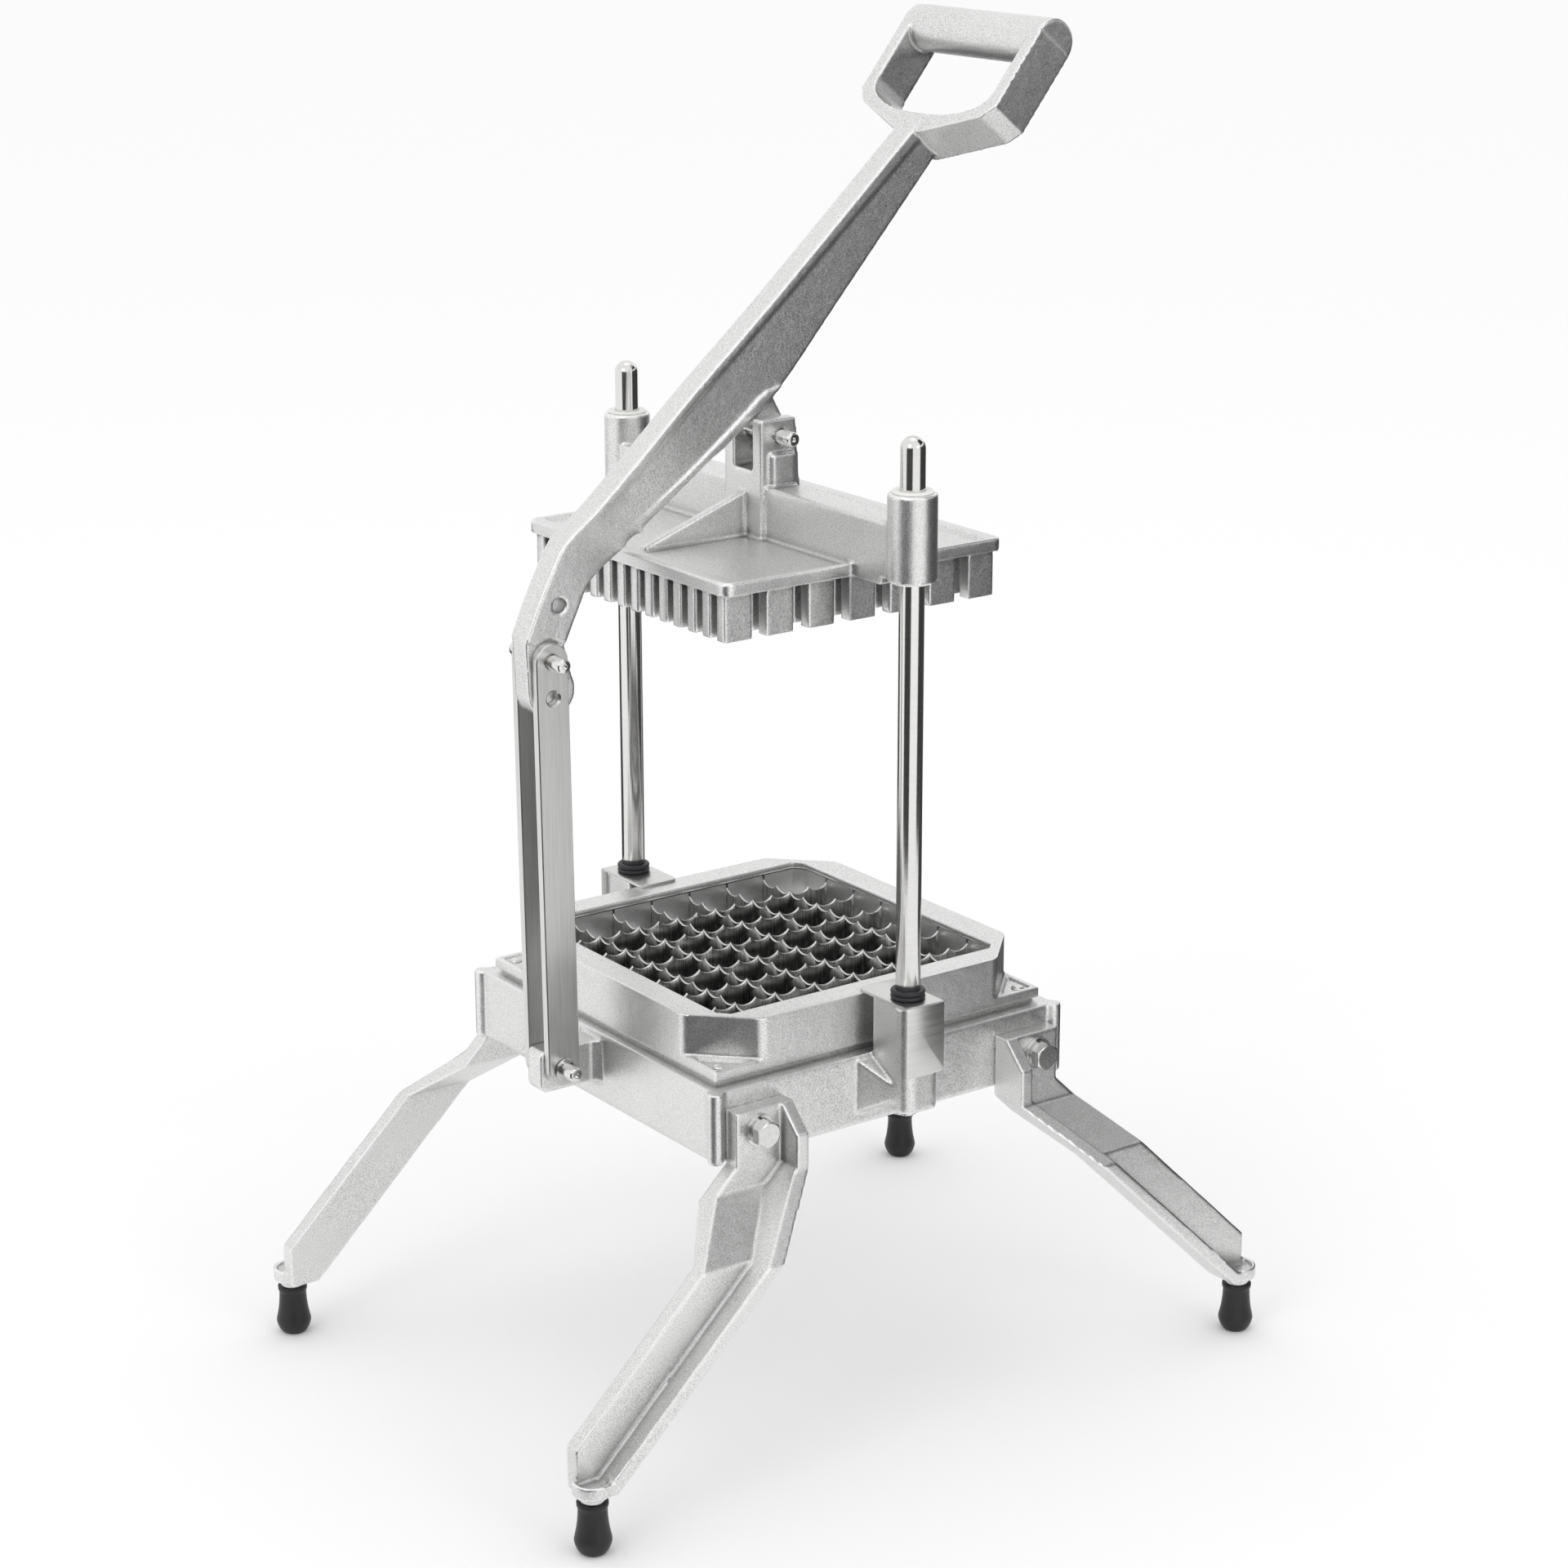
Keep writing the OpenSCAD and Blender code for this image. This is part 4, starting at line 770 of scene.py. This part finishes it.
class CUTTER_OT_brackets(bpy.types.Operator):
    """The folded sheet brackets that hold the blade frame down"""
    bl_idname = "cutter.brackets"
    bl_label = "Brackets"

    def execute(self, context):
        scene = context.scene
        lo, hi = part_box("bracket_far")
        t, near = 1.5 * MM, 0.01 * MM
        sheet = block("bracket_pattern", (lo.x, lo.y, hi.z - t), (hi.x, hi.y, hi.z))
        # the fold: the outer strip's underside is drawn down along the boss
        edit(sheet)
        bpy.ops.mesh.bisect(plane_co=(0, hi.y - t, 0), plane_no=(0, 1, 0))
        leave()
        edit_only(sheet, "FACE", lambda f: f.normal.z < -0.9 and f.center.y > hi.y - t)
        bpy.ops.mesh.extrude_region_move(TRANSFORM_OT_translate={"value": (0, 0, lo.z - hi.z + t)})
        leave()
        outward(sheet)

        def edges(along, longer, test):
            """Edges longer than this along an axis, with both ends where the test says."""
            def wanted(e):
                a, b = (sheet.data.vertices[i].co for i in e.vertices)
                return abs(a[along] - b[along]) > longer and test(a) and test(b)
            return wanted

        bevel_edges(sheet, edges(0, 10 * MM, lambda v: v.y > hi.y - near and v.z > hi.z - near),
                    scene.cutter_sizes.bend_radius, 6)
        bevel_edges(sheet, edges(2, 0.1 * MM, lambda v: v.y < lo.y + near), 3 * MM, 6)
        bevel_edges(sheet, edges(1, 0.1 * MM, lambda v: abs(v.x) > hi.x - near and v.z < lo.z + near),
                    2.5 * MM, 5)
        rod_lo, rod_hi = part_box("guide_rod_far")
        bore = rod("bracket_bore", 6.45 * MM, hi.z - 5 * t, hi.z + t, 64)
        bore.location.y = (rod_lo.y + rod_hi.y) / 2
        cut(sheet, bore)
        broken_edges(sheet, 0.25 * MM, 2, 50)
        steel = sheet_finish(scene.cutter_looks)
        for side, s in SIDES:
            piece = placed(sheet, "bracket_%s_sheet" % side, flip=(1, s, 1))
            dress(smooth(piece), "base", "sheet_steel", steel, "bracket_" + side)
        spare(sheet)
        return {"FINISHED"}


class CUTTER_OT_blade_frame(bpy.types.Operator):
    """The cast frame that clamps the blades, and the rivets in its corners"""
    bl_idname = "cutter.blade_frame"
    bl_label = "Blade frame"

    def execute(self, context):
        scene = context.scene
        looks = scene.cutter_looks
        piece = mesh_of("blade_frame_casting", "blade_frame")

        def upright(e):
            a, b = (piece.data.vertices[i].co for i in e.vertices)
            return abs(a.z - b.z) > 20 * MM and (a - b).xy.length < MM

        bevel_edges(piece, upright, scene.cutter_sizes.tray_corner, 5)
        poured(piece, scene.cutter_sizes.fine_pour, softening=3, triangles=110000)
        dress(piece, "base", "cast_aluminium", cast_finish("cast_frame", looks), "blade_frame")
        refinish(cast_finish("cast_holder", looks), "blade_holder")
        lo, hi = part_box("frame_rivets")
        dome = in_mm((2, 1.6), (3.35, 1.6), (3.5, 1.35), (3.3, 0.95), (2.7, 0.5), (1.8, 0.16), (0.8, 0))
        rivet = turned("rivet", [(1.8 * MM, lo.z), (2 * MM, lo.z + 0.2 * MM)]
                       + [(r, hi.z - below) for r, below in dome], 40)
        x = hi.x - 3.5 * MM
        rivets = set_out("frame_rivets_steel", rivet, [(sx * x, sy * x, 0) for sx, sy in CORNERS])
        dress(smooth(rivets, 50), "base", "zinc_steel", zinc_finish(looks), "frame_rivets")
        return {"FINISHED"}


class CUTTER_OT_blades(bpy.types.Operator):
    """The crossing blades, their scallops ground to an edge from both sides"""
    bl_idname = "cutter.blades"
    bl_label = "Blades"

    def execute(self, context):
        lo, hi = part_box("blades_lever_way")
        steel = blade_finish(context.scene.cutter_looks, lo.z, hi.z)
        for node, across in (("blades_lever_way", 1), ("blades_rod_way", 0)):
            piece = mesh_of(node + "_ground", node)
            edit_only(piece, "EDGE", self.crest_edges(piece, across, hi.z - 3.4 * MM))
            bpy.ops.mesh.bevel(offset=0.45 * MM, segments=1, affect="EDGES", clamp_overlap=True)
            leave()
            dress(smooth(piece, 30), "base", "blade_steel", steel, node)
        return {"FINISHED"}

    def crest_edges(self, piece, across, height):
        """A test for the two long edges of each blade's scalloped crest, which lies above the height."""
        normals = {}
        for f in piece.data.polygons:
            for key in f.edge_keys:
                normals.setdefault(key, []).append(f.normal.copy())

        def wanted(e):
            a, b = (piece.data.vertices[i].co for i in e.vertices)
            flanks = [n for n in normals.get(e.key, []) if abs(n[across]) > 0.9]
            tops = [n for n in normals.get(e.key, []) if abs(n[across]) < 0.1 and n.z > 0.3]
            along = abs(a[across] - b[across]) < 1e-6
            return along and min(a.z, b.z) > height and len(flanks) == 1 and len(tops) == 1

        return wanted


def pin_profile(r, reach, end, tip):
    """A pin's turned profile, with a groove near each end, rounded ends and a lathe centre in them."""
    inner, outer, neck = reach + GROOVE_GAP, reach + GROOVE_GAP + GROOVE_WIDTH, r - GROOVE_DEPTH
    half = [(r, inner), (neck, inner), (neck, outer), (r, outer), (r, end - tip), (r * 0.95, end - tip * 0.5),
            (r * 0.84, end - tip * 0.14), (r * 0.7, end), (r * 0.32, end), (r * 0.1, end - tip * 0.6)]
    return [(a, -b) for a, b in reversed(half)] + half


def clip_at(name, axis, y, mouth):
    """A retaining clip with three lugs on the groove, open downwards."""
    t, rim = 0.5 * MM, 6 * MM
    clip = turned(name, [(5.8 * MM, -t), (rim, -t * 0.6), (rim, t * 0.6), (5.8 * MM, t)], 48)
    cut(clip, rod("clip_bore", CLIP_BORE, -2 * t, 2 * t))
    for angle in (math.radians(40), math.radians(140)):
        hollow = rod("clip_hollow", 1.75 * MM, -2 * t, 2 * t, 24)
        hollow.location = (3.1 * MM * math.cos(angle), 3.1 * MM * math.sin(angle), 0)
        cut(clip, hollow)
    cut(clip, block("clip_mouth", (-mouth / 2, -9 * MM, -2 * t), (mouth / 2, 0, 2 * t)))
    piece = placed(clip, name + "_steel", at=(axis.x, y, axis.z), turn=(math.pi / 2, 0, 0))
    spare(clip)
    return smooth(piece)


class CUTTER_OT_pins(bpy.types.Operator):
    """The linkage's three pins and their retaining clips"""
    bl_idname = "cutter.pins"
    bl_label = "Pins and clips"

    def execute(self, context):
        scene = context.scene
        polish = rod_finish("polished_pin", scene.cutter_looks, (40, 2600, 40))
        zinc = zinc_finish(scene.cutter_looks)
        sizes = scene.cutter_sizes
        for node, body, clips, ends in (("lower_link_pin", "base", "lower_pin_clips", (-1, 1)),
                                        ("upper_link_pin", "link", "upper_pin_clip", (1,)),
                                        ("clevis_pin", "head", "clevis_pin_clip", (1,))):
            lo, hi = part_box(node)
            axis, r = (lo + hi) / 2, (hi.z - lo.z) / 2
            reach = hi.y - PIN_STANDOUT
            pin = turned("pin", pin_profile(r, reach, hi.y, sizes.pin_end), 56)
            piece = placed(pin, node + "_steel", at=(axis.x, 0, axis.z), turn=(math.pi / 2, 0, 0))
            spare(pin)
            dress(smooth(piece, 30), body, "ground_steel", polish, node)
            y = reach + GROOVE_GAP + GROOVE_WIDTH / 2
            made = [clip_at(clips, axis, s * y, sizes.clip_mouth) for s in ends]
            dress(joined(clips + "_zinc", made), body, "zinc_steel", zinc, clips)
        return {"FINISHED"}


class CUTTER_OT_push_head(bpy.types.Operator):
    """The push head: fingered plate, beam, collars, clevis and ribs poured as one casting"""
    bl_idname = "cutter.push_head"
    bl_label = "Push head"

    def execute(self, context):
        scene = context.scene
        piece = mesh_of("push_head_casting", "push_head", "finger_plate", "fingers")
        poured(piece, scene.cutter_sizes.coarse_pour, softening=3, triangles=190000)
        dress(piece, "head", "cast_aluminium", cast_finish("cast_head", scene.cutter_looks),
              "push_head", "finger_plate", "fingers")
        return {"FINISHED"}


class CUTTER_OT_bushes(bpy.types.Operator):
    """White bushings with a collar, in both ends of the rod collars"""
    bl_idname = "cutter.bushes"
    bl_label = "Bushings"

    def execute(self, context):
        nylon = nylon_finish(context.scene.cutter_looks)
        flange, sleeve, bore, seat, broken = 1.2 * MM, 14 * MM, 6.41 * MM, 9.2 * MM, 0.4 * MM
        for side, _ in SIDES:
            node = "bushes_" + side
            lo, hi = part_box(node)
            r, y, end = hi.x, (lo.y + hi.y) / 2, flange + sleeve
            profile = [(bore + broken, 0), (r - broken, 0), (r, broken), (r, flange), (seat, flange),
                       (seat, end - 0.5 * MM), (seat - 0.5 * MM, end), (bore, end), (bore, broken)]
            pair = []
            for z, s in ((lo.z, 1), (hi.z, -1)):
                bush = turned("bush", [(a, z + s * b) for a, b in profile], 72, bored=True)
                pair.append(placed(bush, "bush", at=(0, y, 0)))
                spare(bush)
            dress(smooth(joined(node + "_nylon", pair)), "head", "white_nylon", nylon, node)
        return {"FINISHED"}


class CUTTER_OT_lever(bpy.types.Operator):
    """The cast lever with its tail, lug and D-shaped handle"""
    bl_idname = "cutter.lever"
    bl_label = "Lever"

    def execute(self, context):
        scene = context.scene
        piece = mesh_of("lever_casting", "lever")
        poured(piece, scene.cutter_sizes.fine_pour, softening=4, triangles=150000)
        # the side recess fades out about its step, and its lower rim, from low to high, runs into the arm
        step, low, high = (Vector(p) * MM for p in ((-91.5, 0, 473), (-80, 0, 468.5), (-12, 0, 506.5)))
        reach, rim = scene.cutter_sizes.fade_reach, high - low

        def in_the_fade(v):
            along = (v.co - low).xz.dot(rim.xz) / rim.length_squared
            beside = 0 < along < 1 and (v.co.xz - (low + along * rim).xz).length < reach * 0.35
            return abs(v.co.y) > 4 * MM and ((v.co.xz - step.xz).length < reach or beside)

        edit_only(piece, "VERT", in_the_fade)
        bpy.ops.mesh.vertices_smooth(factor=0.5, repeat=40)
        leave()
        dress(piece, "lever", "cast_aluminium", cast_finish("cast_lever", scene.cutter_looks), "lever")
        return {"FINISHED"}


class CUTTER_OT_link_bars(bpy.types.Operator):
    """The two flat link bars with full round ends"""
    bl_idname = "cutter.link_bars"
    bl_label = "Link bars"

    def execute(self, context):
        scene = context.scene
        steel = bar_finish(scene.cutter_looks)
        joints = {j["name"]: j for j in frame["joints"]}
        low = Vector(joints["link_pivot"]["pos_m"])
        up = Vector(joints["lever_pivot"]["pos_m"])
        lo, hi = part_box("link_bar_far")
        span, t, w = (up - low).length, (hi.y - lo.y) / 2, 9.3 * MM
        e, sides = scene.cutter_sizes.bar_edge, 64
        disc = turned("disc", [(w - e, -t), (w, e - t), (w, t - e), (w - e, t)], sides)
        disc.rotation_euler.z = math.pi / sides
        settle(disc)
        bar = placed(disc, "bar_pattern", turn=(-math.pi / 2, 0, 0))
        spare(disc)
        # a disc becomes a bar when its upper half goes up to the other pin
        edit_only(bar, "VERT", lambda v: v.co.z > 0)
        bpy.ops.transform.translate(value=(0, 0, span))
        leave()
        for z, r, sink in ((0, 4.05, 0.3), (span, 4.05, 0.3), (span - 19 * MM, 3.5, 1)):
            r, sink = r * MM, sink * MM
            bore = turned("bore", [(r, -t - sink), (r, t - sink), (r + 2 * sink, t + sink)], 48)
            bore.rotation_euler = (-math.pi / 2, 0, 0)
            bore.location.z = z
            cut(bar, bore)
        lean = math.atan2(up.x - low.x, up.z - low.z)
        for side, s in SIDES:
            node = "link_bar_" + side
            piece = placed(bar, node + "_steel", at=(low.x, s * (lo.y + hi.y) / 2, low.z),
                           turn=(0, lean, 0), flip=(1, s, 1))
            dress(smooth(piece), "link", "sheet_steel", steel, node)
        spare(bar)
        return {"FINISHED"}


# Stage

class CUTTER_OT_stage(bpy.types.Operator):
    """White floor, light from all round, softboxes, dark cards for the metal to mirror, and camera"""
    bl_idname = "cutter.stage"
    bl_label = "Stage"

    def execute(self, context):
        scene = context.scene
        stage = scene.cutter_stage
        self.floor(stage)
        self.world(scene, stage)
        self.lamps(stage)
        self.cards()
        self.camera(scene)
        scene.view_settings.view_transform = "Standard"
        return {"FINISHED"}

    def paint(self, name, colour, roughness=0.5, specular=0.5):
        """A plain finish for the stage's own things."""
        paint = bpy.data.materials.new(name)
        paint.use_nodes = True
        shader = paint.node_tree.nodes["Principled BSDF"]
        shader.inputs["Base Color"].default_value = (*colour, 1)
        shader.inputs["Roughness"].default_value = roughness
        shader.inputs["Specular IOR Level"].default_value = specular
        return paint

    def floor(self, stage):
        bpy.ops.object.select_all(action="DESELECT")
        bpy.ops.mesh.primitive_plane_add(size=2 * stage.floor_reach, location=(0, 0, 0))
        floor = named("floor")
        floor.data.materials.append(self.paint("floor_white", stage.floor_colour, 0.9, 0.1))

    def world(self, scene, stage):
        scene.world = bpy.data.worlds.new("studio")
        scene.world.use_nodes = True
        soft = scene.world.node_tree.nodes["Background"]
        soft.inputs["Color"].default_value = (1, 1, 1, 1)
        soft.inputs["Strength"].default_value = stage.world_level

    def lamps(self, stage):
        for name, at, size, power in LAMPS:
            bpy.ops.object.select_all(action="DESELECT")
            bpy.ops.object.light_add(type="AREA", location=at)
            lamp = bpy.context.active_object
            lamp.name = name
            lamp.data.shape, lamp.data.size = "SQUARE", size
            lamp.data.energy = power * stage.lamp_level
            lamp.rotation_euler = (Vector(LAMP_AIM) - Vector(at)).to_track_quat("-Z", "Y").to_euler()
            lamp.visible_camera = False

    def cards(self):
        """Dark cards leaning outward round the cutter, which only its metal sees: the gaps between
        them are the bright lines in the rods."""
        paint = self.paint("card_dark", (0.02, 0.02, 0.02))
        for name, azimuth, spread, near_edge, far_edge in CARDS:
            half = math.tan(math.radians(spread / 2))
            bpy.ops.object.select_all(action="DESELECT")
            bpy.ops.mesh.primitive_plane_add(size=2)
            card = named(name)
            for v in card.data.vertices:
                r, z = far_edge if v.co.y > 0 else near_edge
                v.co = (v.co.x * r * half, -r, z + MM)
            card.rotation_euler.z = math.radians(azimuth)
            settle(card)
            card.visible_camera = card.visible_diffuse = card.visible_shadow = False
            card.data.materials.append(paint)

    def camera(self, scene):
        azimuth, elevation, roll = (math.radians(a) for a in CAMERA_TURN)
        away = Vector((math.sin(azimuth) * math.cos(elevation), -math.cos(azimuth) * math.cos(elevation),
                       math.sin(elevation)))
        bpy.ops.object.camera_add(location=CAMERA_AIM + away * CAMERA_DISTANCE,
                                  rotation=(math.pi / 2 - elevation, roll, azimuth))
        camera = bpy.context.active_object
        camera.name = "camera"
        camera.data.lens, camera.data.sensor_width = CAMERA_LENS, CAMERA_SENSOR
        camera.data.clip_end = 200
        scene.camera = camera


# Panel and registration

PIECES = (CUTTER_OT_base, CUTTER_OT_legs, CUTTER_OT_leg_bolts, CUTTER_OT_feet, CUTTER_OT_rods,
          CUTTER_OT_brackets, CUTTER_OT_blade_frame, CUTTER_OT_blades, CUTTER_OT_pins, CUTTER_OT_push_head,
          CUTTER_OT_bushes, CUTTER_OT_lever, CUTTER_OT_link_bars, CUTTER_OT_stage)


class CUTTER_PT_sidebar(bpy.types.Panel):
    """The cutter's pieces and their settings"""
    bl_idname = "CUTTER_PT_sidebar"
    bl_label = "Lever vegetable cutter"
    bl_space_type = "VIEW_3D"
    bl_region_type = "UI"
    bl_category = "Cutter"

    def draw(self, context):
        for group in (context.scene.cutter_looks, context.scene.cutter_sizes, context.scene.cutter_stage):
            for name in group.__annotations__:
                self.layout.prop(group, name)
        for piece in PIECES:
            self.layout.operator(piece.bl_idname)


CLASSES = (CutterLooks, CutterSizes, CutterStage, *PIECES, CUTTER_PT_sidebar)


def register():
    for c in CLASSES:
        bpy.utils.register_class(c)
    bpy.types.Scene.cutter_looks = bpy.props.PointerProperty(type=CutterLooks)
    bpy.types.Scene.cutter_sizes = bpy.props.PointerProperty(type=CutterSizes)
    bpy.types.Scene.cutter_stage = bpy.props.PointerProperty(type=CutterStage)


def unregister():
    for name in ("cutter_looks", "cutter_sizes", "cutter_stage"):
        delattr(bpy.types.Scene, name)
    for c in reversed(CLASSES):
        bpy.utils.unregister_class(c)


def main():
    register()
    for piece in PIECES:
        operator = getattr(bpy.ops.cutter, piece.bl_idname.split(".")[1])
        if operator() != {"FINISHED"}:
            raise RuntimeError(piece.bl_label + " wasn't finished")


if __name__ == "__main__":
    main()
